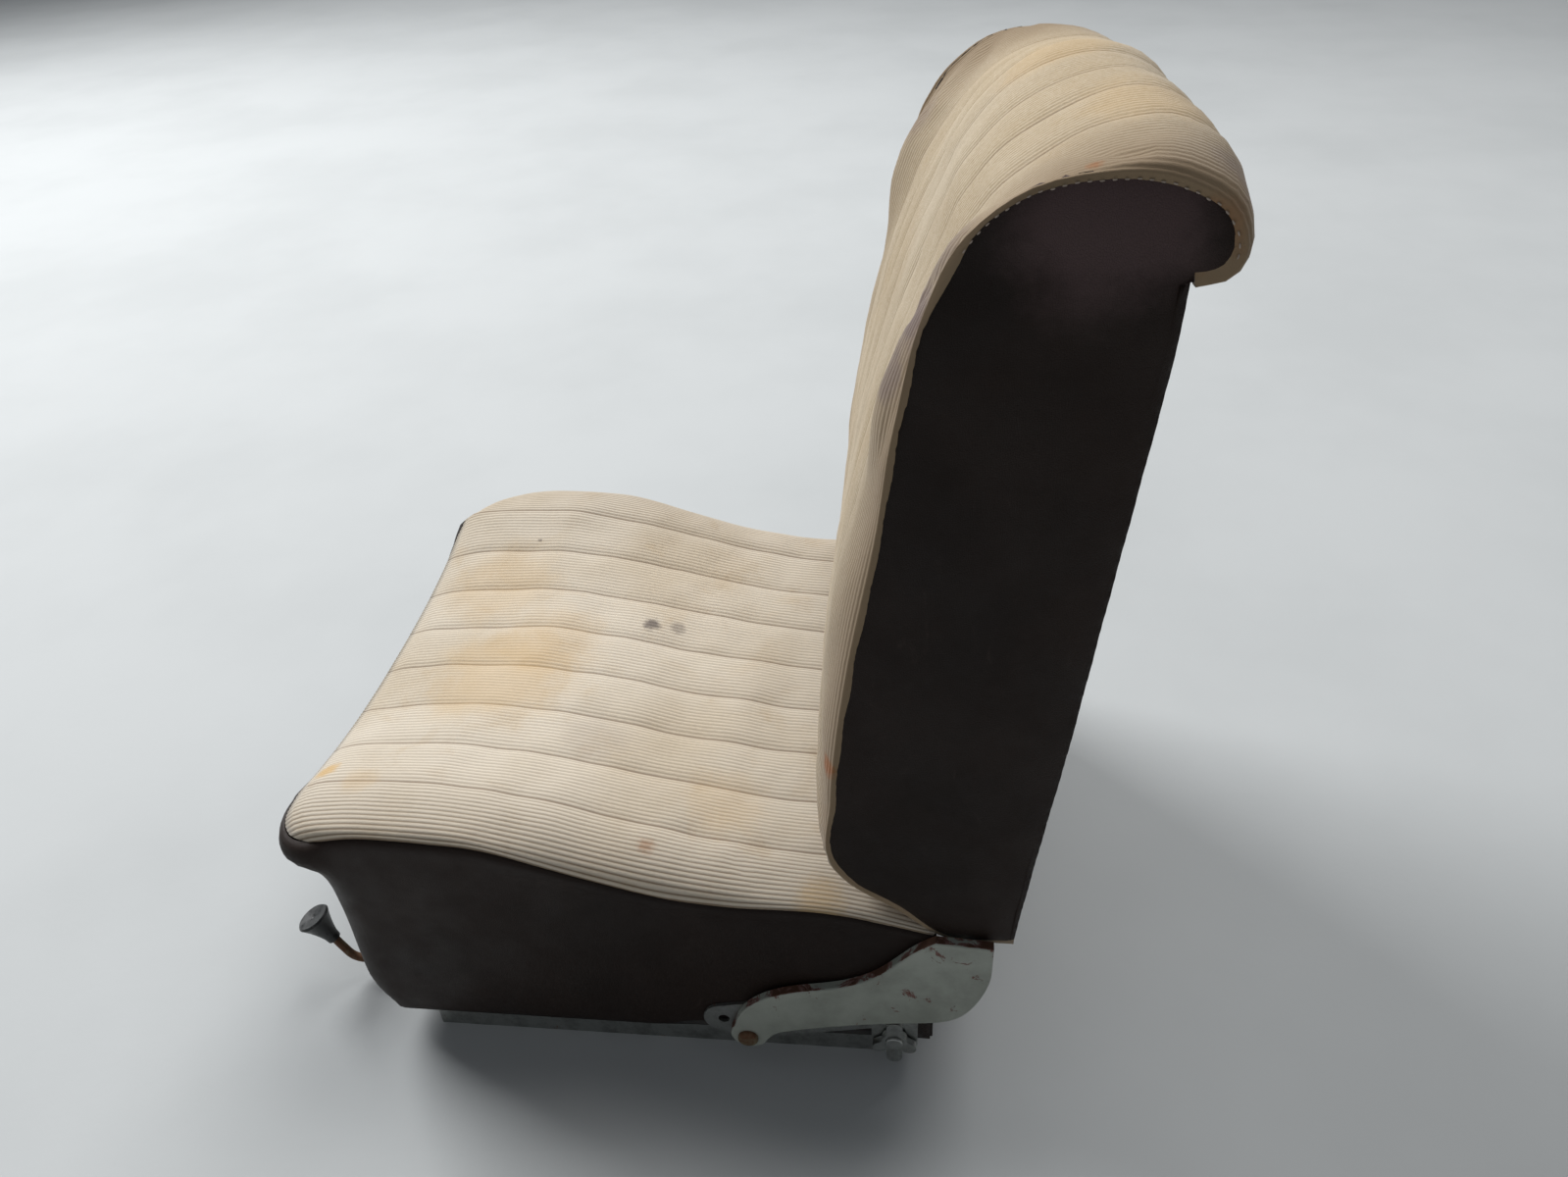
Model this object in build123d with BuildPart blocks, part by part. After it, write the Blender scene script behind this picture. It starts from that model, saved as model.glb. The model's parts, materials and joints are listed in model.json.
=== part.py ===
"""Vintage vehicle front seat: a sprung cushion on slide rails with a fold-forward backrest.

Millimetres. The origin is the centre of the four floor-bolt holes, on the floor plane.
+Z is up, the sitter faces -Y, and +X is the sitter's left. Profiles are drawn in side view, as
(Y, Z) points on Plane.YZ. Left-hand pieces are modelled, and right-hand ones are their mirror image.
"""

import math
import os

from build123d import *

os.makedirs("parts", exist_ok=True)

# ---- driving dimensions -------------------------------------------------------------------
# Floor rails and sliders
RAIL_X = 235.0
RAIL_LENGTH = 430.0
RAIL_WIDTH = 40.0
RAIL_HEIGHT = 22.0
RAIL_WALL = 2.5
RAIL_SLOT = 16.0
BOLT_SPACING_Y = 380.0
BOLT_HOLE_R = 4.5
SLIDER_LENGTH = 290.0
SLIDER_TOP = 38.0
SLIDER_CAP_WIDTH = 36.0
SLIDER_CAP_WALL = 4.0
SLIDER_WEB_WIDTH = 8.0
SLIDER_FLANGE_WIDTH = 30.0
SLIDER_FLANGE_WALL = 3.0
SLIDER_FLANGE_Z = 10.0
GLIDE_LENGTH = 30.0
GLIDE_YS = (-95, 95)
SLIDE_CLEARANCE = 0.1

# Cushion frame, under the cushion
FRAME_HALF = 265.4
FRAME_FRONT = -238.0
FRAME_REAR = 236.0
FRAME_TOP = 90.0
SIDE_MEMBER_WIDTH = 34.0
MEMBER_WIDTH = 30.0
SHEET = 2.0
ASSEMBLY_GAP = 0.1
BRACKET_SCREWS = ((122, 74), (178, 78))
BRACKET_SCREW_R = 4.0
BRACKET_SCREW_HOLE_R = 4.2
CUSHION_SPRING_WIRE = 4.0
CUSHION_SPRING_XS = (-176, -88, 0, 88, 176)
CUSHION_SPRING = {"half_width": 24, "half_length": 182, "lead": 44, "turns": 10}
CLIP_SIZE = (12.0, 8.0, 6.0)
CLIP_GROOVE = 4.4

# Cushion: side profile, front to rear
SKIRT_BOTTOM = 42.0
SKIRT_FRONT = -272.0
SKIRT_CORNER_R = 48.0
SKIRT_WALL = 2.4
COVER_WALL = 3.0
CUSHION_HALF = 268.0
CUSHION_REAR = 245.0
FOAM_BOTTOM = 98.0
FRONT_SEAM = (-290, 250)
FRONT_BULGE = [(SKIRT_FRONT, 150), (-278, 212), FRONT_SEAM]
CUSHION_TOP = [
    FRONT_SEAM, (-281, 276), (-230, 282), (-100, 269), (0, 243), (80, 224), (180, 208), (CUSHION_REAR, 184),
]
SIDE_SEAM = [FRONT_SEAM, (-190, 264), (-74, 238), (20, 209), (130, 203), (200, 188), (CUSHION_REAR, 172)]

# Backrest: side profile
BACK_HALF = 266.0
PANEL_WALL = 3.8
BACK_FRONT = [(160, 244), (165, 326), (179, 454), (213, 640), (238, 704)]
BACK_ROLL = [(238, 704), (262, 754), (308, 791), (360, 783), (400, 750), (390, 727), (362, 723)]
BACK_BOTTOM = [(306, 182), (250, 190), (206, 212), (172, 229)]
PANEL_FRONT = [(161, 255), (166, 330), (180, 454), (203, 579), (214, 658), (230, 715)]
PANEL_ROLL = [(230, 715), (253, 760), (300, 780), (350, 771), (377, 742), (362, 727)]
PANEL_BOTTOM = [(306, 181), (250, 187), (206, 227)]
REAR_PANEL_WALL = 3.0
HOOP_HALF = 238.0
HOOP_R = 11.0
HOOP_WALL = 1.8
HOOP_FOOT = (284, 203)
HOOP_TOP = (333, 690)
HOOP_BEND_R = 45.0
CROSS_TUBE_R = 8.0
CROSS_TUBE_WALL = 1.6
CROSS_TUBE_HEIGHT = 8.5
BACK_SPRING_WIRE = 3.2
BACK_SPRING_HEIGHTS = (100, 200, 300, 400)
BACK_SPRING = {"half_width": 20, "half_length": 190, "lead": 50, "turns": 9}

# Hinge and rake adjuster
PIVOT = (84, 46)
PIVOT_R = 6.0
RUNNING_CLEARANCE = 0.05
BRACKET_INNER = 268.4
BRACKET_WALL = 3.0
BRACKET_OUTER = BRACKET_INNER + BRACKET_WALL
LUG = (62, 58)
LUG_R = 18.0
LUG_HOLE_R = 5.0
ARM_INNER = 272.0
ARM_OUTER = 280.0
ARM_WALL = 2.4
ARM_WEB_INNER = ARM_OUTER - ARM_WALL
ARM_SHELF_Z = (170.0, 174.0)
ARM_SHELF_REAR = 288.0
ARM_TAB_X = (249.2, 253.2)
ARM_TAB_Y = (276.0, 300.0)
ARM_TAB_TOP = 268.0
TAB_SCREWS = (22.0, 52.0)
TAB_SCREW_R = 3.5
ARM_TOP = [(73, 60), (88, 90), (119, 110), (169, 124), (202, 146), (222, 169), (244, 188)]
ARM_REAR = [(290, 184), (290, 155), (284, 122)]
ARM_BOTTOM = [(262, 88), (227, 79), (168, 69), (116, 55), (98, 36)]
CAM_CENTRE = (212, 50)
CAM_PIN_R = 5.0
CAM_HUB_R = 11.0
CAM_LOBES = [(90, 25.6, 7), (270, 29.0, 7), (-35, 22.0, 6), (215, 22.0, 6)]  # angle, reach, half width
CAM_INNER = 273.0
CAM_THICKNESS = 6.0
CAM_OUTER = CAM_INNER + CAM_THICKNESS

# Slide release lever
LEVER_X = 205.0
LEVER_Z = 22.0
LEVER_ROD_R = 4.0
LEVER_REAR = -60.0
LEVER_BEND = (-318, LEVER_Z)
KNOB_BASE = (-336, 62)
KNOB_LENGTH = 21.0
KNOB_COLLAR = 12.0
KNOB_NECK_R = 7.0
KNOB_FACE_R = 16.0
GUIDE_YS = (-200, -90)
GUIDE_WIDTH = 13.0
GUIDE_WALL = 4.0
SPRING_COIL_R = 6.5
SPRING_COIL_WIRE_R = 0.9
SPRING_COIL_PITCH = 3.2
SPRING_COILS = 5
LATCH_Y = -130.0
LATCH_REACH = 8.5
RACK_PITCH = 15.0
RACK_TOP = 16.0
RACK_LENGTH = 180.0
RACK_WALL = 3.0
RACK_NOTCH_DEPTH = 6.0


# ---- helpers ------------------------------------------------------------------------------
def save(piece, node):
    """Labels a finished piece and writes it under its node name."""
    piece.label = node
    export_step(piece, f"parts/{node}.step")


def save_pair(piece, node):
    """Writes a left-hand piece and its mirror image."""
    save(piece, f"{node}_left")
    save(mirror(piece, about=Plane.YZ), f"{node}_right")


def inset(outline, amount):
    """A closed clockwise outline moved inward by amount, point by point, with mitred corners."""
    normals = []
    for (y0, z0), (y1, z1) in zip(outline, outline[1:] + outline[:1]):
        run = math.dist((y0, z0), (y1, z1))
        normals.append(((z1 - z0) / run, (y0 - y1) / run))
    moved = []
    for (y, z), (a, b), (c, d) in zip(outline, normals[-1:] + normals, normals):
        scale = amount / (1 + a * c + b * d)
        moved.append((y + scale * (a + c), z + scale * (b + d)))
    return moved


def cushion_face(outline):
    """The cushion's side profile: bulged front, sprung top, straight rear and bottom."""
    front_end = len(FRONT_BULGE) - 1
    top_end = front_end + len(CUSHION_TOP) - 1
    with BuildSketch() as face:
        with BuildLine():
            Spline(*outline[: front_end + 1])
            Spline(*outline[front_end : top_end + 1])
            Polyline(*outline[top_end:], outline[0])
        make_face()
    return face.sketch


def back_face(outline):
    """The backrest's side profile: hollowed front, head roll, straight rear and bottom."""
    front_end = len(BACK_FRONT) - 1
    roll_end = front_end + len(BACK_ROLL) - 1
    with BuildSketch() as face:
        with BuildLine():
            Spline(*outline[: front_end + 1])
            Spline(*outline[front_end : roll_end + 1])
            Polyline(*outline[roll_end:], outline[0])
        make_face()
    return face.sketch


def arm_face(outline):
    """The hinge arm's side profile: swept top edge, square rear, rounded lower corner and pivot end."""
    top_end = len(ARM_TOP) - 1
    with BuildSketch() as face:
        with BuildLine():
            Spline(*outline[: top_end + 1])
            Polyline(*outline[top_end : top_end + 3])
            Spline(*outline[top_end + 2 : -1], tangents=[(0, -1), (-0.5, -1)])
            ThreePointArc(outline[-2], outline[-1], outline[0])
        make_face()
    return face.sketch


def tube_block(width, depth, height, centre, hollow_along):
    """A rectangular sheet-metal tube, open at both ends."""
    inner = [width - 2 * SHEET, depth - 2 * SHEET, height - 2 * SHEET]
    inner[hollow_along] += 4 * SHEET
    with BuildPart() as tube:
        with Locations(centre):
            Box(width, depth, height)
            Box(*inner, mode=Mode.SUBTRACT)
    return tube.part


def zigzag(half_width, half_length, lead, turns):
    """Corner points of a flat zigzag spring wire that runs along local y, with straight ends."""
    step = 2 * half_length / turns
    points = [(0, -half_length - lead), (0, -half_length - step * 0.6)]
    for i in range(turns + 1):
        side = half_width if i % 2 else -half_width
        y = -half_length + i * step
        points += [(side, y - step * 0.3), (side, y + step * 0.3)]
    points += [(0, half_length + step * 0.6), (0, half_length + lead)]
    return points


def wire_spring(plane, half_width, half_length, lead, turns, wire_d):
    """A zigzag spring swept along a filleted path in the given plane."""
    with BuildPart() as spring:
        with BuildLine(plane) as path:
            FilletPolyline(*zigzag(half_width, half_length, lead, turns), radius=wire_d * 1.2)
        with BuildSketch(Plane(origin=path.line @ 0, z_dir=path.line % 0)):
            Circle(wire_d / 2)
        sweep()
    return spring.part


def hex_screw(y, z, head_from, head_to, shank_to, shank_r, head_r):
    """A hexagon-headed screw along X, at (y, z), from its head to the end of its shank."""
    with BuildPart() as screw:
        with BuildSketch(Plane.YZ.offset(head_from)):
            with Locations((y, z)):
                RegularPolygon(head_r, 6)
        extrude(amount=head_to - head_from)
        with BuildSketch(Plane.YZ.offset(head_to)):
            with Locations((y, z)):
                Circle(shank_r)
        extrude(amount=shank_to - head_to)
    return screw.part


# ---- floor rails (fixed) ------------------------------------------------------------------
with BuildPart() as floor_rail:
    with Locations((RAIL_X, 0, RAIL_HEIGHT / 2)):
        Box(RAIL_WIDTH, RAIL_LENGTH, RAIL_HEIGHT)
        Box(RAIL_WIDTH - 2 * RAIL_WALL, RAIL_LENGTH + 2, RAIL_HEIGHT - 2 * RAIL_WALL, mode=Mode.SUBTRACT)
    with Locations((RAIL_X, 0, RAIL_HEIGHT)):
        Box(RAIL_SLOT, RAIL_LENGTH + 2, 4 * RAIL_WALL, mode=Mode.SUBTRACT)
    with Locations([(RAIL_X, y, RAIL_WALL / 2) for y in (-BOLT_SPACING_Y / 2, BOLT_SPACING_Y / 2)]):
        Cylinder(BOLT_HOLE_R, 3 * RAIL_WALL, mode=Mode.SUBTRACT)
save_pair(floor_rail.part, "floor_rail")

rack_x = RAIL_X - (RAIL_WIDTH + RACK_WALL) / 2
with BuildPart() as latch_rack:
    with Locations((rack_x, LATCH_Y, RACK_TOP / 2)):
        Box(RACK_WALL, RACK_LENGTH, RACK_TOP)
    with Locations([(rack_x, LATCH_Y + i * RACK_PITCH, RACK_TOP) for i in range(-5, 6)]):
        Box(RACK_WALL + 1, RACK_PITCH / 2, 2 * RACK_NOTCH_DEPTH, mode=Mode.SUBTRACT)
save(latch_rack.part, "latch_rack")

# ---- sliding cushion frame ----------------------------------------------------------------
web_foot = SLIDER_FLANGE_Z + SLIDER_FLANGE_WALL
web_head = SLIDER_TOP - SLIDER_CAP_WALL
with BuildPart() as slider:
    with Locations((RAIL_X, 0, SLIDER_FLANGE_Z + SLIDER_FLANGE_WALL / 2)):
        Box(SLIDER_FLANGE_WIDTH, SLIDER_LENGTH, SLIDER_FLANGE_WALL)
    with Locations((RAIL_X, 0, (web_foot + web_head) / 2)):
        Box(SLIDER_WEB_WIDTH, SLIDER_LENGTH, web_head - web_foot)
    with Locations((RAIL_X, 0, SLIDER_TOP - SLIDER_CAP_WALL / 2)):
        Box(SLIDER_CAP_WIDTH, SLIDER_LENGTH, SLIDER_CAP_WALL)
save_pair(slider.part, "slider")

glide_width = RAIL_WIDTH - 2 * RAIL_WALL - 2 * SLIDE_CLEARANCE
glide_height = SLIDER_FLANGE_Z - RAIL_WALL - SLIDE_CLEARANCE
with BuildPart() as rail_glides:
    with Locations([(RAIL_X, y, SLIDER_FLANGE_Z - glide_height / 2) for y in GLIDE_YS]):
        Box(glide_width, GLIDE_LENGTH, glide_height)
save_pair(rail_glides.part, "rail_glides")

frame_length = FRAME_REAR - FRAME_FRONT
frame_height = FRAME_TOP - SLIDER_TOP
frame_mid_y = (FRAME_REAR + FRAME_FRONT) / 2
frame_mid_z = (FRAME_TOP + SLIDER_TOP) / 2
member_inner = FRAME_HALF - SIDE_MEMBER_WIDTH
web_inner = FRAME_HALF - SHEET
with BuildPart() as side_member:
    with Locations((FRAME_HALF - SIDE_MEMBER_WIDTH / 2, frame_mid_y, frame_mid_z)):
        Box(SIDE_MEMBER_WIDTH, frame_length, frame_height)
    with Locations((web_inner - SIDE_MEMBER_WIDTH / 2 - 2, frame_mid_y, frame_mid_z)):
        Box(SIDE_MEMBER_WIDTH + 4, frame_length + 2, frame_height - 2 * SHEET, mode=Mode.SUBTRACT)
    with BuildSketch(Plane.YZ.offset(web_inner - 1)):
        with Locations(*BRACKET_SCREWS):
            Circle(BRACKET_SCREW_HOLE_R)
    extrude(amount=SHEET + 2, mode=Mode.SUBTRACT)
save_pair(side_member.part, "side_member")

member_span = 2 * (member_inner - ASSEMBLY_GAP)
front_y = FRAME_FRONT + MEMBER_WIDTH / 2
rear_y = FRAME_REAR - MEMBER_WIDTH / 2
save(tube_block(member_span, MEMBER_WIDTH, frame_height, (0, front_y, frame_mid_z), 0), "front_member")
save(tube_block(member_span, MEMBER_WIDTH, frame_height, (0, rear_y, frame_mid_z), 0), "rear_member")

spring_z = FRAME_TOP + CUSHION_SPRING_WIRE / 2 + ASSEMBLY_GAP / 2
spring_plane = Plane(origin=(0, (front_y + rear_y) / 2, spring_z))
one_spring = wire_spring(spring_plane, wire_d=CUSHION_SPRING_WIRE, **CUSHION_SPRING)
with BuildPart() as cushion_springs:
    for x in CUSHION_SPRING_XS:
        add(one_spring.moved(Location((x, 0, 0))))
save(cushion_springs.part, "cushion_springs")

clip_places = [(x, y) for x in CUSHION_SPRING_XS for y in (front_y, rear_y)]
with BuildPart() as spring_clips:
    with Locations([(x, y, FRAME_TOP + CLIP_SIZE[2] / 2) for x, y in clip_places]):
        Box(*CLIP_SIZE)
    with Locations([(x, y, FRAME_TOP + CLIP_GROOVE / 2 - ASSEMBLY_GAP) for x, y in clip_places]):
        Box(CLIP_GROOVE, CLIP_SIZE[1] + 2, CLIP_GROOVE, mode=Mode.SUBTRACT)
save(spring_clips.part, "spring_clips")

# ---- cushion: foam, corduroy cover, vinyl skirts ------------------------------------------
underside_z = FOAM_BOTTOM - COVER_WALL
cushion_outline = FRONT_BULGE + CUSHION_TOP[1:] + [(CUSHION_REAR, underside_z), (SKIRT_FRONT, underside_z)]
with BuildPart() as cushion_foam:
    with BuildSketch(Plane.YZ):
        add(cushion_face(inset(cushion_outline, COVER_WALL)))
    extrude(amount=CUSHION_HALF - COVER_WALL - 2 * ASSEMBLY_GAP, both=True)
save(cushion_foam.part, "cushion_foam")

with BuildPart() as cushion_cover:
    with BuildSketch(Plane.YZ):
        with BuildLine():
            Spline(*CUSHION_TOP)
            Polyline(CUSHION_TOP[-1], SIDE_SEAM[-1])
            Spline(*SIDE_SEAM)
        make_face()
    extrude(amount=CUSHION_HALF, both=True)
    add(cushion_foam.part, mode=Mode.SUBTRACT)
save(cushion_cover.part, "cushion_cover")

skirt_corner = (SKIRT_FRONT + SKIRT_CORNER_R, SKIRT_BOTTOM)
corner_top = (SKIRT_FRONT, SKIRT_BOTTOM + SKIRT_CORNER_R)
with BuildPart() as side_skirt:
    with BuildSketch(Plane.YZ.offset(CUSHION_HALF - SKIRT_WALL)):
        with BuildLine():
            Polyline((CUSHION_REAR, SIDE_SEAM[-1][1]), (CUSHION_REAR, SKIRT_BOTTOM), skirt_corner)
            RadiusArc(skirt_corner, corner_top, SKIRT_CORNER_R)
            Polyline(corner_top, FRONT_BULGE[0])
            Spline(*FRONT_BULGE)
            Spline(*SIDE_SEAM)
        make_face()
        with Locations(*BRACKET_SCREWS):
            Circle(BRACKET_SCREW_HOLE_R, mode=Mode.SUBTRACT)
    extrude(amount=SKIRT_WALL)
save_pair(side_skirt.part, "side_skirt")

skirt_span = 2 * (CUSHION_HALF - SKIRT_WALL - ASSEMBLY_GAP)
bulge_inner = [(y + SKIRT_WALL, z - 1) for y, z in FRONT_BULGE]
with BuildPart() as front_skirt:
    with BuildSketch(Plane.YZ):
        with BuildLine():
            RadiusArc(skirt_corner, corner_top, SKIRT_CORNER_R)
            Polyline(corner_top, FRONT_BULGE[0])
            Spline(*FRONT_BULGE)
            Polyline(FRONT_SEAM, bulge_inner[-1])
            Spline(*reversed(bulge_inner))
            Polyline(bulge_inner[0], (SKIRT_FRONT + SKIRT_WALL, corner_top[1]))
            RadiusArc(
                (SKIRT_FRONT + SKIRT_WALL, corner_top[1]),
                (skirt_corner[0], SKIRT_BOTTOM + SKIRT_WALL),
                -(SKIRT_CORNER_R - SKIRT_WALL),
            )
            Polyline((skirt_corner[0], SKIRT_BOTTOM + SKIRT_WALL), skirt_corner)
        make_face()
    extrude(amount=skirt_span / 2, both=True)
    with Locations((0, frame_mid_y - 2 * ASSEMBLY_GAP, frame_mid_z)):
        Box(2 * CUSHION_HALF, frame_length, frame_height + 4 * ASSEMBLY_GAP, mode=Mode.SUBTRACT)
save(front_skirt.part, "front_skirt")

rear_skirt_height = SIDE_SEAM[-1][1] - SKIRT_BOTTOM
with BuildPart() as rear_skirt:
    with Locations((0, CUSHION_REAR - SKIRT_WALL / 2, SKIRT_BOTTOM + rear_skirt_height / 2)):
        Box(skirt_span, SKIRT_WALL, rear_skirt_height)
save(rear_skirt.part, "rear_skirt")

# ---- hinge brackets, shoulder rivets and rake cam pins (on the cushion frame) --------------
with BuildPart() as hinge_bracket:
    with BuildSketch(Plane.YZ.offset(BRACKET_INNER)):
        with Locations(LUG):
            Circle(LUG_R)
        with Locations(PIVOT):
            Circle(14)
        with Locations(*BRACKET_SCREWS):
            Circle(16)
        with Locations((CAM_CENTRE[0], CAM_CENTRE[1] + 24)):
            Circle(12)
        make_hull()
    extrude(amount=BRACKET_WALL)
    with BuildSketch(Plane.YZ.offset(BRACKET_INNER)):
        with Locations((CAM_CENTRE[0], CAM_CENTRE[1] + 8)):
            RectangleRounded(40, 56, 8)
    extrude(amount=BRACKET_WALL)
    with BuildSketch(Plane.YZ.offset(BRACKET_INNER - 1)):
        with Locations(LUG):
            Circle(LUG_HOLE_R)
        with Locations(PIVOT):
            Circle(PIVOT_R)
        with Locations(CAM_CENTRE):
            Circle(CAM_PIN_R)
        with Locations(*BRACKET_SCREWS):
            Circle(BRACKET_SCREW_R)
    extrude(amount=BRACKET_WALL + 2, mode=Mode.SUBTRACT)
save_pair(hinge_bracket.part, "hinge_bracket")

with BuildPart() as bracket_screws:
    for y, z in BRACKET_SCREWS:
        add(hex_screw(y, z, web_inner - 5, web_inner, BRACKET_OUTER - 2 * ASSEMBLY_GAP, BRACKET_SCREW_R, 7))
save_pair(bracket_screws.part, "bracket_screws")

rivet_head_inner = ARM_OUTER + 3 * ASSEMBLY_GAP
with BuildPart() as pivot_rivet:
    with BuildSketch(Plane.YZ.offset(BRACKET_INNER)):
        with Locations(PIVOT):
            Circle(PIVOT_R)
    extrude(amount=rivet_head_inner - BRACKET_INNER)
    with BuildSketch(Plane.YZ.offset(BRACKET_OUTER)):
        with Locations(PIVOT):
            Circle(9.5)
    extrude(amount=ARM_WEB_INNER - 2 * ASSEMBLY_GAP - BRACKET_OUTER)
    with BuildSketch(Plane.YZ.offset(rivet_head_inner)):
        with Locations(PIVOT):
            Circle(9)
    extrude(amount=4)
    fillet(pivot_rivet.edges().group_by(Axis.X)[-1], 2.5)
save_pair(pivot_rivet.part, "pivot_rivet")

pin_head_inner = CAM_OUTER + 3 * ASSEMBLY_GAP
with BuildPart() as cam_pin:
    with BuildSketch(Plane.YZ.offset(BRACKET_INNER)):
        with Locations(CAM_CENTRE):
            Circle(CAM_PIN_R)
    extrude(amount=pin_head_inner - BRACKET_INNER)
    with BuildSketch(Plane.YZ.offset(pin_head_inner)):
        with Locations(CAM_CENTRE):
            Circle(7.5)
    extrude(amount=2.5)
    fillet(cam_pin.edges().group_by(Axis.X)[-1], 1.2)
save_pair(cam_pin.part, "cam_pin")

# ---- rake cams: the hinge arm rests on the top lobe ---------------------------------------
with BuildPart() as rake_cam:
    with BuildSketch(Plane.YZ.offset(CAM_INNER)):
        with Locations(CAM_CENTRE):
            Circle(CAM_HUB_R)
        for angle, reach, half_width in CAM_LOBES:
            lobe = reach - half_width
            middle_y = CAM_CENTRE[0] + lobe / 2 * math.cos(math.radians(angle))
            middle_z = CAM_CENTRE[1] + lobe / 2 * math.sin(math.radians(angle))
            with Locations((middle_y, middle_z)):
                SlotCenterToCenter(lobe, 2 * half_width, rotation=angle)
    extrude(amount=CAM_THICKNESS)
    with BuildSketch(Plane.YZ.offset(CAM_INNER - 1)):
        with Locations(CAM_CENTRE):
            Circle(CAM_PIN_R + RUNNING_CLEARANCE)
    extrude(amount=CAM_THICKNESS + 2, mode=Mode.SUBTRACT)
save_pair(rake_cam.part, "rake_cam")

# ---- backrest -----------------------------------------------------------------------------
back_outline = BACK_FRONT + BACK_ROLL[1:] + BACK_BOTTOM
back_inner = inset(back_outline, COVER_WALL)

recline = math.atan2(HOOP_TOP[0] - HOOP_FOOT[0], HOOP_TOP[1] - HOOP_FOOT[1])
hoop_length = math.dist(HOOP_FOOT, HOOP_TOP)
hoop_plane = Plane(
    origin=(0, *HOOP_FOOT),
    x_dir=(1, 0, 0),
    z_dir=(0, -math.cos(recline), math.sin(recline)),
)

with BuildPart() as arm_screws:
    for along in TAB_SCREWS:
        y = HOOP_FOOT[0] + along * math.sin(recline)
        z = HOOP_FOOT[1] + along * math.cos(recline)
        add(hex_screw(y, z, ARM_TAB_X[1] + 4, ARM_TAB_X[1], HOOP_HALF - HOOP_R - 3, TAB_SCREW_R, 6.5))
save_pair(arm_screws.part, "arm_screws")

with BuildPart() as back_hoop:
    with BuildLine(hoop_plane) as hoop_path:
        FilletPolyline(
            (-HOOP_HALF, 0),
            (-HOOP_HALF, hoop_length),
            (HOOP_HALF, hoop_length),
            (HOOP_HALF, 0),
            radius=HOOP_BEND_R,
        )
    with BuildSketch(Plane(origin=hoop_path.line @ 0, z_dir=hoop_path.line % 0)):
        Circle(HOOP_R)
        Circle(HOOP_R - HOOP_WALL, mode=Mode.SUBTRACT)
    sweep()
    add(arm_screws.part, mode=Mode.SUBTRACT)
    add(mirror(arm_screws.part, about=Plane.YZ), mode=Mode.SUBTRACT)
save(back_hoop.part, "back_hoop")

cross_tube_half = HOOP_HALF - HOOP_R - 3.2
cross_tube_y = HOOP_FOOT[0] + CROSS_TUBE_HEIGHT * math.sin(recline)
cross_tube_z = HOOP_FOOT[1] + CROSS_TUBE_HEIGHT * math.cos(recline)
with BuildPart() as back_cross_tube:
    with BuildSketch(Plane.YZ.offset(-cross_tube_half)):
        with Locations((cross_tube_y, cross_tube_z)):
            Circle(CROSS_TUBE_R)
            Circle(CROSS_TUBE_R - CROSS_TUBE_WALL, mode=Mode.SUBTRACT)
    extrude(amount=2 * cross_tube_half)
save(back_cross_tube.part, "back_cross_tube")

spring_offset = HOOP_R + BACK_SPRING_WIRE / 2 + ASSEMBLY_GAP
with BuildPart() as back_springs:
    for height in BACK_SPRING_HEIGHTS:
        across = Plane(
            origin=hoop_plane.origin + hoop_plane.z_dir * spring_offset + hoop_plane.y_dir * height,
            x_dir=hoop_plane.y_dir,
            z_dir=hoop_plane.z_dir,
        )
        add(wire_spring(across, wire_d=BACK_SPRING_WIRE, **BACK_SPRING))
save(back_springs.part, "back_springs")

foam_rear = spring_offset + BACK_SPRING_WIRE / 2 + 1
cavity_foot = (
    HOOP_FOOT[0] - foam_rear * math.cos(recline) - 60 * math.sin(recline),
    HOOP_FOOT[1] + foam_rear * math.sin(recline) - 60 * math.cos(recline),
)
cavity_top = (
    HOOP_TOP[0] - foam_rear * math.cos(recline) + 14 * math.sin(recline),
    HOOP_TOP[1] + foam_rear * math.sin(recline) + 14 * math.cos(recline),
)
with BuildPart() as back_foam:
    with BuildSketch(Plane.YZ):
        add(back_face(back_inner))
        with BuildLine():
            Polyline(cavity_foot, cavity_top, (420, cavity_top[1]), (420, 120), cavity_foot)
        make_face(mode=Mode.SUBTRACT)
    extrude(amount=BACK_HALF - COVER_WALL - 2 * ASSEMBLY_GAP, both=True)
save(back_foam.part, "back_foam")

tab_x = sum(ARM_TAB_X) / 2
tab_y = sum(ARM_TAB_Y) / 2
tab_width = ARM_TAB_X[1] - ARM_TAB_X[0]
tab_depth = ARM_TAB_Y[1] - ARM_TAB_Y[0]
with BuildPart() as back_cover:
    with BuildSketch(Plane.YZ):
        add(back_face(back_outline))
    extrude(amount=BACK_HALF, both=True)
    with BuildSketch(Plane.YZ):
        add(back_face(back_inner))
    extrude(amount=BACK_HALF - COVER_WALL, both=True, mode=Mode.SUBTRACT)
    with Locations((-tab_x, tab_y, BACK_BOTTOM[1][1]), (tab_x, tab_y, BACK_BOTTOM[1][1])):
        Box(tab_width + 2, tab_depth + 3, 40, mode=Mode.SUBTRACT)
save(back_cover.part, "back_cover")

with BuildPart() as back_side_panel:
    with BuildSketch(Plane.YZ.offset(BACK_HALF + ASSEMBLY_GAP)):
        with BuildLine():
            Spline(*PANEL_FRONT)
            Spline(*PANEL_ROLL)
            Polyline(PANEL_ROLL[-1], *PANEL_BOTTOM, PANEL_FRONT[0])
        make_face()
    extrude(amount=PANEL_WALL)
save_pair(back_side_panel.part, "back_side_panel")

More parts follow.
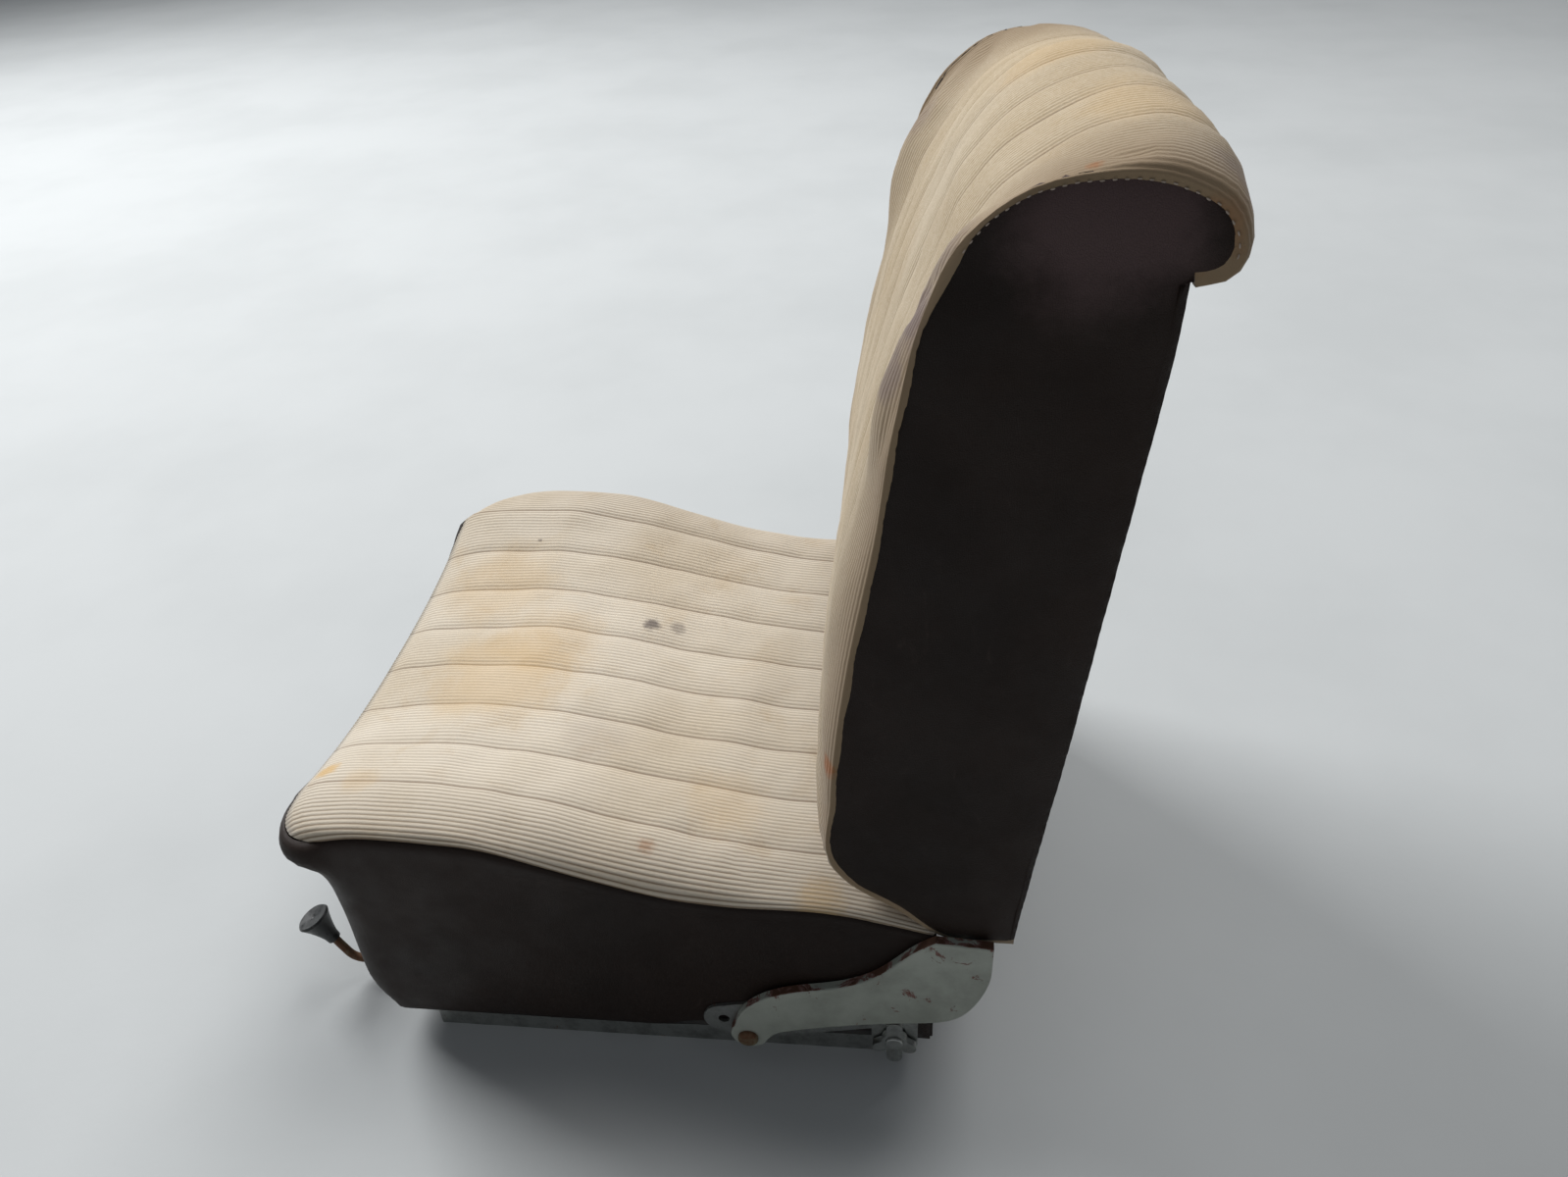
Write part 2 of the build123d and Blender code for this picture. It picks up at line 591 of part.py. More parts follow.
panel_head = (BACK_ROLL[-1][0] + ASSEMBLY_GAP, BACK_ROLL[-1][1] - 2)
panel_foot = (BACK_BOTTOM[0][0] + ASSEMBLY_GAP, BACK_BOTTOM[0][1])
with BuildPart() as rear_panel:
    with BuildSketch(Plane.YZ):
        with BuildLine():
            Polyline(
                panel_head,
                (panel_head[0] + REAR_PANEL_WALL, panel_head[1]),
                (panel_foot[0] + REAR_PANEL_WALL, panel_foot[1]),
                panel_foot,
                close=True,
            )
        make_face()
    extrude(amount=BACK_HALF, both=True)
save(rear_panel.part, "rear_panel")

# ---- hinge arms: pressed channel with its open side inboard, and a tab bolted to the hoop --
shelf_inner = ARM_TAB_X[0]
shelf_outer = ARM_WEB_INNER + 1.2
shelf_x = (shelf_inner + shelf_outer) / 2
arm_outline = ARM_TOP + ARM_REAR + ARM_BOTTOM + [(PIVOT[0] - 4, PIVOT[1] - 14)]
with BuildPart() as hinge_arm:
    with BuildSketch(Plane.YZ.offset(ARM_INNER)):
        add(arm_face(arm_outline))
    extrude(amount=ARM_OUTER - ARM_INNER)
    fillet(hinge_arm.faces().sort_by(Axis.X)[-1].edges(), 2.0)
    with BuildSketch(Plane.YZ.offset(ARM_INNER - 1)):
        add(arm_face(inset(arm_outline, ARM_WALL)))
    extrude(amount=ARM_WEB_INNER - ARM_INNER + 1, mode=Mode.SUBTRACT)
    with Locations((shelf_x, (ARM_TAB_Y[0] + ARM_SHELF_REAR) / 2, sum(ARM_SHELF_Z) / 2)):
        Box(shelf_outer - shelf_inner, ARM_SHELF_REAR - ARM_TAB_Y[0], ARM_SHELF_Z[1] - ARM_SHELF_Z[0])
    with Locations((tab_x, tab_y, (ARM_SHELF_Z[0] + ARM_TAB_TOP) / 2)):
        Box(tab_width, tab_depth, ARM_TAB_TOP - ARM_SHELF_Z[0])
    with BuildSketch(Plane.YZ.offset(ARM_INNER)):
        with Locations(PIVOT):
            Circle(PIVOT_R + RUNNING_CLEARANCE)
    extrude(amount=20, mode=Mode.SUBTRACT)
    add(arm_screws.part, mode=Mode.SUBTRACT)
save_pair(hinge_arm.part, "hinge_arm")

# ---- slide release lever -------------------------------------------------------------------
guide_foot = LEVER_Z - 2 * LEVER_ROD_R
with BuildPart() as lever_guides:
    for y in GUIDE_YS:
        with BuildSketch(Plane.XZ.offset(-y)):
            with Locations((LEVER_X, (guide_foot + SLIDER_TOP) / 2)):
                Rectangle(GUIDE_WIDTH, SLIDER_TOP - guide_foot)
            with Locations((LEVER_X, LEVER_Z)):
                Circle(LEVER_ROD_R + RUNNING_CLEARANCE, mode=Mode.SUBTRACT)
        extrude(amount=GUIDE_WALL)
save(lever_guides.part, "lever_guides")

with BuildPart() as lever_rod:
    with BuildLine(Plane.YZ.offset(LEVER_X)) as lever_path:
        FilletPolyline((LEVER_REAR, LEVER_Z), LEVER_BEND, KNOB_BASE, radius=16)
    with BuildSketch(Plane(origin=lever_path.line @ 0, z_dir=lever_path.line % 0)):
        Circle(LEVER_ROD_R)
    sweep()
    with Locations((LEVER_X, LATCH_Y, LEVER_Z)):
        Box(3 * LEVER_ROD_R, RACK_PITCH, 3)
    with Locations((LEVER_X + LATCH_REACH / 2, LATCH_Y, LEVER_Z - 2)):
        Box(LATCH_REACH, RACK_PITCH / 2 - 2, 3)
save(lever_rod.part, "lever_rod")

knob_axis = Plane(
    origin=(LEVER_X, *KNOB_BASE),
    x_dir=(1, 0, 0),
    z_dir=(0, KNOB_BASE[0] - LEVER_BEND[0], KNOB_BASE[1] - LEVER_BEND[1]),
)
knob_neck = (KNOB_NECK_R, -KNOB_COLLAR / 2)
knob_rim = (KNOB_FACE_R, KNOB_LENGTH - 2)
with BuildPart() as lever_knob:
    with BuildSketch(knob_axis.rotated((90, 0, 0))):
        with BuildLine():
            Polyline((0, 0), (LEVER_ROD_R, 0), (LEVER_ROD_R, -KNOB_COLLAR), (6.5, -KNOB_COLLAR), knob_neck)
            ThreePointArc(knob_neck, (11, KNOB_LENGTH / 2 - 3), knob_rim)
            Polyline(knob_rim, (KNOB_FACE_R - 1.5, KNOB_LENGTH), (0, KNOB_LENGTH - 1.5), (0, 0))
        make_face()
    revolve(axis=Axis(knob_axis.origin, knob_axis.z_dir))
save(lever_knob.part, "lever_knob")

first_coil_y = GUIDE_YS[0] + 14
coil_ys = [first_coil_y + SPRING_COIL_PITCH * i for i in range(SPRING_COILS)]
with BuildPart() as lever_spring:
    with Locations([Plane(origin=(LEVER_X, y, LEVER_Z), z_dir=(0, 1, 0)) for y in coil_ys]):
        Torus(SPRING_COIL_R, SPRING_COIL_WIRE_R)
save(lever_spring.part, "lever_spring")
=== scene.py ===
"""Looks of the vintage vehicle front seat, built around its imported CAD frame.

Blender metres, in the row frame: +Z up, the sitter faces -Y, +X is the sitter's left. Outlines of the
soft parts are side-view (Y, Z) points in millimetres, turned into metres by MM.
"""
import json
import math

import bpy
import numpy as np
from mathutils import Matrix, Vector


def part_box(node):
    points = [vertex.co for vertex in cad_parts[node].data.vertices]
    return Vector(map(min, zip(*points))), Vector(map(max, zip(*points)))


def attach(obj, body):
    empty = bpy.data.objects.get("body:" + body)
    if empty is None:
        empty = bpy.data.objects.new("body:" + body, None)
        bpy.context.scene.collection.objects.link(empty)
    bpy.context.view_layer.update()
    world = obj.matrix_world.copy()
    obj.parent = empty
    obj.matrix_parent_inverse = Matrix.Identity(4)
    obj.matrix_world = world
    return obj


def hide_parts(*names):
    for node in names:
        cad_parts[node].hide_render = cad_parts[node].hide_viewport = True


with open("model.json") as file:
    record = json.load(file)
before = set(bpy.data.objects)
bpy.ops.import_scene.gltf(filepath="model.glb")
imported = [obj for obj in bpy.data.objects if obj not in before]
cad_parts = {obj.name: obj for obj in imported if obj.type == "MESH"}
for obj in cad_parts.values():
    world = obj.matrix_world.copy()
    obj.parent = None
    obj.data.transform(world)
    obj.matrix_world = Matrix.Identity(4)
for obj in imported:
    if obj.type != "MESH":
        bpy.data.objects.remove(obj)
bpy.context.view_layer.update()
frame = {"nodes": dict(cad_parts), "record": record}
MM = 0.001

# ---- driving sizes, in millimetres ----------------------------------------------------------
PLEAT = 61.4                    # between sewn lines
RIBS_PER_PLEAT = 14
RIB = PLEAT / RIBS_PER_PLEAT    # one corduroy wale
RIB_STEPS = 5                   # mesh columns in one wale
RIB_HEIGHT = 0.55
HALF_RIBS = 63                  # from the middle to the side seam
COARSE_RIBS = 2                 # wales in one column of the simulated cloth
ROW = 9.0                       # length of a mesh row along the wales
PILLOW = 1.9                    # how far the padding stands up between two sewn lines
PILLOW_RUN = 7.5                # and how far from a sewn line it takes to rise
CLOTH_PRESSURE = 4.0
CLOTH_CAP = 3.0                 # the simulation may move a point no further than this
CLOTH_FRAMES = 20

# Cushion: side views at the middle, at the outermost sewn line and along the side seam
CUSHION_MIDDLE = [(-306, 236), (-289, 243), (-239, 251), (-188, 254), (-139, 254), (-91, 248),
                  (-44, 238), (4, 228), (51, 220), (99, 212), (180, 203), (243, 184)]
CUSHION_CREST = [(-304, 254), (-290, 268), (-254, 277), (-210, 279), (-168, 278), (-126, 273),
                 (-86, 264), (-45, 253), (-5, 242), (76, 222), (180, 208), (243, 190)]
CUSHION_SEAM = [(-302, 261), (-260, 269), (-220, 269), (-190, 267), (-150, 263), (-112, 252),
                (-74, 239), (-36, 227), (3, 216), (60, 209), (155, 206), (243, 186)]
CUSHION_FLAT = 3.5 * PLEAT      # the outermost sewn line
CUSHION_EDGE = 269.0
CUSHION_FRONT = -297.0
CUSHION_REAR = 243.0
CUSHION_ROUNDING = 14.0         # drop of the rounded border, from crest to seam
CUSHION_PAD = 58.0              # depth of the closed pad under the cloth
CORNER_R = 36.0
FAR_CORNER_R = 84.0             # the front corner on the sitter's right is worn rounder

# Backrest: matching stations at the sewn lines and at the side panels' edge, from the lower rear
# corner round the bottom, up the front, over the head roll and down to its underside
BACK_MIDDLE = [(306, 184), (250, 191), (211, 211), (173, 229), (157, 252), (153, 326), (166, 454),
               (184, 544), (212, 637), (238, 702), (262, 751), (287, 773), (313, 786), (360, 783),
               (387, 766), (392, 744), (386, 728), (364, 722)]
BACK_SEAM = [(306, 177), (252, 181), (212, 214), (177, 242), (163, 262), (164, 330), (178, 454),
             (195, 548), (210, 640), (226, 712), (246, 753), (275, 775), (313, 782), (353, 772),
             (380, 756), (386, 741), (381, 730), (364, 724)]
PANEL_REAR = [(306, 181), (318, 288), (330, 388), (341, 500), (350, 588), (359, 676), (362, 726)]
REAR_SHEET = [(310, 183), (319, 288), (328, 388), (336, 500), (346, 588), (359, 676), (364, 724)]
BACK_FLAT = 3 * PLEAT
BACK_EDGE = 267.5
BACK_ROUNDING = 13.0
BACK_PAD = 26.0
STITCHED_ABOVE = 728.0          # the panels' stitches show only round the head roll
ROLL_SAG = 26.0                 # the head roll is crushed lower on the sitter's right
ROLL_PLUMP = 6.0                # and plumper behind on the sitter's left
SHOULDER = 13.0                 # how far the outer pleats stand forward below the head roll
SHOULDER_X = 232.0
FRONT_END = 11.5                # the last front station, on top of the head roll
VINYL_PANEL = 1.8               # thickness of the side and rear panels

# The cushion's foam, set in from the sides, front and rear of its CAD solid
FOAM_INSET = 18.0
FOAM_FRONT_INSET = 48.0
FOAM_REAR_INSET = 6.0
FOAM_UNDER_TOP = 64.0           # its top lies this far under the cloth
FOAM_STEPS = 61

# Vinyl skirt round the cushion
SKIRT_BOTTOM = 36.0
SKIRT_SIDE = 268.5
SKIRT_FRONT = -272.0
SKIRT_CORNER_R = 30.0
SKIRT_WALL = 1.6
SKIRT_BELLY = 2.5
SKIRT_HEM = (4.0, 15.0)         # how far the hem is drawn in at the sides and at the front

# Stitches
STITCH_PITCH = 6.0
STITCH_LENGTH = 2.6
STITCH_R = 0.45
STITCH_SIDES = 6


# ---- curves and grids -----------------------------------------------------------------------
def along(points, u):
    """Points of a smooth path at station numbers u, where whole numbers are the given points."""
    p = np.asarray(points, float)
    step = np.linalg.norm(np.diff(p, axis=0), axis=1)
    slope = np.diff(p, axis=0) / step[:, None]
    inner = (slope[:-1] * step[1:, None] + slope[1:] * step[:-1, None]) / (step[1:] + step[:-1])[:, None]
    tangent = np.vstack([slope[:1], inner, slope[-1:]])
    u = np.clip(np.asarray(u, float), 0, len(p) - 1)
    i = np.minimum(u.astype(int), len(p) - 2)
    f = (u - i)[:, None]
    d = step[i][:, None]
    a = (2 * f**3 - 3 * f**2 + 1) * p[i] + (f**3 - 2 * f**2 + f) * d * tangent[i]
    return a + (3 * f**2 - 2 * f**3) * p[i + 1] + (f**3 - f**2) * d * tangent[i + 1]


def even_stations(points, spacing):
    """Station numbers evenly spaced by arc length along a smooth path."""
    fine = np.linspace(0, len(points) - 1, 60 * len(points))
    line = along(points, fine)
    length = np.concatenate([[0], np.cumsum(np.linalg.norm(np.diff(line, axis=0), axis=1))])
    count = max(2, round(length[-1] / spacing) + 1)
    return np.interp(np.linspace(0, length[-1], count), length, fine)


def resample(line, count):
    """The same open line with count points, evenly spaced."""
    line = np.asarray(line, float)
    length = np.concatenate([[0], np.cumsum(np.linalg.norm(np.diff(line, axis=0), axis=1))])
    at = np.linspace(0, length[-1], count)
    return np.stack([np.interp(at, length, line[:, k]) for k in range(line.shape[1])], 1)


def height_at(points, y):
    """Z of a side-view line at each Y."""
    line = along(points, np.linspace(0, len(points) - 1, 400))
    return np.interp(y, line[:, 0], line[:, 1])


def grid_normals(p):
    """Unit normals of a grid of points."""
    du = np.gradient(p, axis=0)
    dv = np.gradient(p, axis=1)
    n = np.cross(dv, du)
    return n / np.maximum(np.linalg.norm(n, axis=2, keepdims=True), 1e-9)


def waves(p, size, seed):
    """A smooth, repeatable unevenness between -1 and 1, with lumps of about that size."""
    rng = np.random.default_rng(seed)
    total = np.zeros(p.shape[:-1])
    for _ in range(9):
        direction = rng.normal(size=3)
        direction *= 2 * math.pi / (size * rng.uniform(0.7, 1.6) * np.linalg.norm(direction))
        total += np.sin(p @ direction + rng.uniform(0, 2 * math.pi))
    return total / 4.5


def smoothstep(x, low, high):
    t = np.clip((x - low) / (high - low), 0, 1)
    return t * t * (3 - 2 * t)


def finer(grid, rows, columns):
    """A grid of points read at fractional row and column numbers by cubic interpolation."""
    def cubic(g, at):
        n = len(g)
        i = np.clip(np.floor(at).astype(int), 0, n - 2)
        f = (at - i).reshape(-1, *([1] * (g.ndim - 1)))
        before = g[np.maximum(i - 1, 0)]
        after = g[np.minimum(i + 2, n - 1)]
        m0 = (g[i + 1] - before) / 2
        m1 = (after - g[i]) / 2
        first = (2 * f**3 - 3 * f**2 + 1) * g[i] + (f**3 - 2 * f**2 + f) * m0
        return first + (3 * f**2 - 2 * f**3) * g[i + 1] + (f**3 - f**2) * m1
    by_row = cubic(grid, rows)
    return cubic(by_row.transpose(1, 0, 2), columns).transpose(1, 0, 2)


def mesh_object(name, points, faces, smooth=True):
    mesh = bpy.data.meshes.new(name)
    mesh.from_pydata([tuple(q) for q in np.asarray(points) * MM], [], faces)
    mesh.validate()
    mesh.update()
    if smooth:
        mesh.polygons.foreach_set("use_smooth", [True] * len(mesh.polygons))
    piece = bpy.data.objects.new(name, mesh)
    bpy.context.scene.collection.objects.link(piece)
    return piece


def quads(rows, columns, start=0, flip=False):
    """Faces of a grid whose points are numbered row by row."""
    i, j = np.meshgrid(np.arange(rows - 1), np.arange(columns - 1), indexing="ij")
    a = (start + i * columns + j).ravel()
    loop = np.stack([a, a + 1, a + columns + 1, a + columns], 1)
    return (loop[:, ::-1] if flip else loop).tolist()


def closed_sheet(name, outer, inner):
    """A closed mesh between two grids of the same size, joined round their borders."""
    rows, columns, _ = outer.shape
    count = rows * columns
    faces = quads(rows, columns) + quads(rows, columns, count, flip=True)
    ring = list(range(columns)) + [i * columns + columns - 1 for i in range(1, rows)]
    ring += [(rows - 1) * columns + j for j in range(columns - 2, -1, -1)]
    ring += [i * columns for i in range(rows - 2, 0, -1)]
    for a, b in zip(ring, ring[1:] + ring[:1]):
        faces.append((b, a, a + count, b + count))
    return mesh_object(name, np.vstack([outer.reshape(-1, 3), inner.reshape(-1, 3)]), faces)


def store(piece, name, values):
    """Keeps one number per point on the mesh, for its material to read."""
    full = np.zeros(len(piece.data.vertices), np.float32)
    flat = np.asarray(values, np.float32).ravel()
    full[: len(flat)] = flat
    piece.data.attributes.new(name, "FLOAT", "POINT").data.foreach_set("value", full)


def padded_body(name, grid, depth):
    """A closed pad: the grid is its outer face, and walls and a floor, depth behind it, close it.

    The floor runs straight across from side to side, so a hollow grid stays open above it.
    """
    rows, columns, _ = grid.shape
    normals = grid_normals(grid)
    middle = columns // 2
    inward = -normals[:, middle] * depth
    left = grid[:, 0] + inward + [8, 0, 0]
    right = grid[:, -1] + inward - [8, 0, 0]
    ends = [np.linspace(left[r], right[r], columns)[1:-1] for r in (0, -1)]
    points = np.vstack([grid.reshape(-1, 3), left, right, *ends])
    faces = quads(rows, columns)
    first_left = rows * columns
    first_right = first_left + rows
    first_end = first_right + rows
    for r in range(rows - 1):
        a, b = r * columns, (r + 1) * columns
        faces.append((a, b, first_left + r + 1, first_left + r))
        faces.append((b + columns - 1, a + columns - 1, first_right + r, first_right + r + 1))
    last = (rows - 1) * columns
    front_line = [first_left, *range(first_end, first_end + columns - 2), first_right]
    rear_end = range(first_end + columns - 2, len(points))
    rear_line = [first_left + rows - 1, *rear_end, first_right + rows - 1]
    for j in range(columns - 1):
        faces.append((front_line[j], front_line[j + 1], j + 1, j))
        faces.append((rear_line[j + 1], rear_line[j], last + j, last + j + 1))
    for r in range(rows - 1):
        near = front_line if r == 0 else [first_left + r, first_right + r]
        far = rear_line if r == rows - 2 else [first_left + r + 1, first_right + r + 1]
        faces.append([*near[::-1], *far])
    return mesh_object(name, points, faces)


# ---- quilted corduroy -----------------------------------------------------------------------
def section(v, flat, edge, drop):
    """Across the seat: (x, fullness) at arc length v. It is level to flat and rounds off to edge."""
    reach = HALF_RIBS * RIB - flat
    phi = np.linspace(0, math.pi / 2, 400)
    x = flat + (edge - flat) * np.sin(phi) ** 0.9
    full = np.cos(phi) ** 0.9
    length = np.concatenate([[0], np.cumsum(np.hypot(np.diff(x), drop * np.diff(full)))])
    t = np.clip((np.abs(v) - flat) / reach, 0, 1) * length[-1]
    outer = np.abs(v) > flat
    xs = np.where(outer, np.interp(t, length, x), np.abs(v)) * np.sign(v)
    return xs, np.where(outer, np.interp(t, length, full), 1.0)


def cushion_grid(v):
    """The cushion's top at arc lengths v across it, before padding."""
    x, full = section(v, CUSHION_FLAT, CUSHION_EDGE, CUSHION_ROUNDING)
    radius = np.where(x < 0, FAR_CORNER_R, CORNER_R)
    out = np.maximum(np.abs(x) - (CUSHION_EDGE - radius), 0) / radius
    front = CUSHION_FRONT + radius * 0.9 * (1 - np.sqrt(np.maximum(1 - out**2, 0)))
    rows = round((CUSHION_REAR - CUSHION_FRONT) / ROW)
    t = np.linspace(0, 1, rows)[:, None]
    y = front + (CUSHION_REAR - front) * t
    crest = np.clip(np.abs(x) / CUSHION_FLAT, 0, 1) ** 2.4
    shown = CUSHION_FRONT + (CUSHION_REAR - CUSHION_FRONT) * t + 0 * y
    top = height_at(CUSHION_MIDDLE, y) * (1 - crest) + height_at(CUSHION_CREST, y) * crest
    top = np.where(np.abs(x) > CUSHION_FLAT, height_at(CUSHION_CREST, shown), top)
    seam = height_at(CUSHION_SEAM, shown)
    z = seam * (1 - full) + top * full
    return np.stack([np.broadcast_to(x, y.shape), y, z], 2)


def roll_sag(x, y, z):
    """How far the head roll has sunk at a place."""
    rear = smoothstep(y, 300, 360)
    sunk = ROLL_SAG * smoothstep(-x, 0, 220) * smoothstep(z, 660 + 68 * rear, 765)
    return sunk - ROLL_PLUMP * rear * smoothstep(x, -20, 140) * smoothstep(z, 735, 775)


def back_grid(v):
    """The backrest's cover at arc lengths v across it, before padding."""
    x, full = section(v, BACK_FLAT, BACK_EDGE, BACK_ROUNDING)
    u = even_stations(BACK_MIDDLE, ROW)
    middle = along(BACK_MIDDLE, u)[:, None, :]
    seam = along(BACK_SEAM, u)[:, None, :]
    side = seam + (middle - seam) * full[None, :, None]
    front = (u < FRONT_END)[:, None]
    beside = np.exp(-(((np.abs(x) - SHOULDER_X) / 26) ** 2))[None, :]
    height = side[..., 1]
    shoulder = smoothstep(height, 560, 650) * (1 - smoothstep(height, 728, 772)) * front
    side[..., 0] -= SHOULDER * beside * shoulder
    side[..., 1] -= roll_sag(x[None, :], side[..., 0], side[..., 1])
    return np.concatenate([np.broadcast_to(x[None, :, None], side[..., :1].shape), side], 2)


def inflate(name, grid, pinned):
    """Blows padding into a sewn cover: cloth simulation of the grid, held where it is pinned."""
    rows, columns, _ = grid.shape
    piece = mesh_object(name, grid.reshape(-1, 3), quads(rows, columns))
    group = piece.vertex_groups.new(name="sewn")
    group.add([int(i) for i in np.flatnonzero(pinned.ravel())], 1.0, "REPLACE")
    cloth = piece.modifiers.new("padding", "CLOTH")
    cloth.settings.quality = 6
    cloth.settings.mass = 0.25
    cloth.settings.tension_stiffness = 12
    cloth.settings.compression_stiffness = 12
    cloth.settings.bending_stiffness = 0.6
    cloth.settings.use_pressure = True
    cloth.settings.uniform_pressure_force = CLOTH_PRESSURE
    cloth.settings.vertex_group_mass = "sewn"
    cloth.settings.effector_weights.gravity = 0
    cloth.collision_settings.use_collision = False
    scene = bpy.context.scene
    for number in range(1, CLOTH_FRAMES + 1):
        scene.frame_set(number)
    shaped = piece.evaluated_get(bpy.context.evaluated_depsgraph_get())
    points = np.array([q.co for q in shaped.data.vertices]).reshape(grid.shape) / MM
    bpy.data.objects.remove(piece)
    scene.frame_set(1)
    moved = points - grid
    far = np.linalg.norm(moved, axis=2, keepdims=True)
    return grid + moved * np.minimum(1, CLOTH_CAP / np.maximum(far, 1e-9))


def quilt(name, make_grid, sewn_at, depth):
    """A corduroy cover: padded between its sewn lines, with every wale in the mesh."""
    count = 2 * HALF_RIBS // COARSE_RIBS
    coarse_v = np.linspace(-HALF_RIBS, HALF_RIBS, count + 1) * RIB
    grid = make_grid(coarse_v)
    near = np.min(np.abs(coarse_v[:, None] - np.asarray(sewn_at)[None]), axis=1)
    pinned = np.zeros(grid.shape[:2], bool)
    pinned[:, near < 0.5 * RIB] = True
    pinned[:, [0, -1]] = True
    pinned[[0, 1, -2, -1]] = True
    shaped = inflate(name + "_cloth", grid, pinned)
    fine_columns = 2 * HALF_RIBS * RIB_STEPS + 1
    v = np.linspace(-HALF_RIBS, HALF_RIBS, fine_columns) * RIB
    rows = np.arange(grid.shape[0], dtype=float)
    fine = finer(shaped, rows, (v / RIB + HALF_RIBS) / COARSE_RIBS)
    normals = grid_normals(fine)
    near = np.min(np.abs(v[:, None] - np.asarray(sewn_at)[None]), axis=1)
    edge = HALF_RIBS * RIB - np.abs(v)
    pillow = PILLOW * (1 - np.exp(-(np.minimum(near, edge + 3) / PILLOW_RUN) ** 1.3))
    ends = np.minimum(np.arange(len(rows)), np.arange(len(rows))[::-1]) * ROW
    fade = smoothstep(ends, -4, 26)[:, None]
    phase = v / RIB
    wale = np.abs(np.sin(math.pi * phase)) ** 0.75
    lumps = waves(fine, 95.0, 3) * 1.5 + waves(fine, 33.0, 4) * 0.5
    inside = smoothstep(edge, 0, 40)[None, :]
    lift = pillow[None, :] * fade + lumps * inside * fade + RIB_HEIGHT * wale[None, :]
    fine = fine + normals * lift[..., None]
    piece = padded_body(name, fine, depth)
    shape = fine.shape[:2]
    store(piece, "groove", np.broadcast_to(1 - wale, shape))
    store(piece, "sewn", np.broadcast_to(np.exp(-((near / 1.5) ** 2)), shape))
    store(piece, "edge", np.broadcast_to(np.exp(-(edge / 64.0) ** 1.6), shape))
    return piece, fine


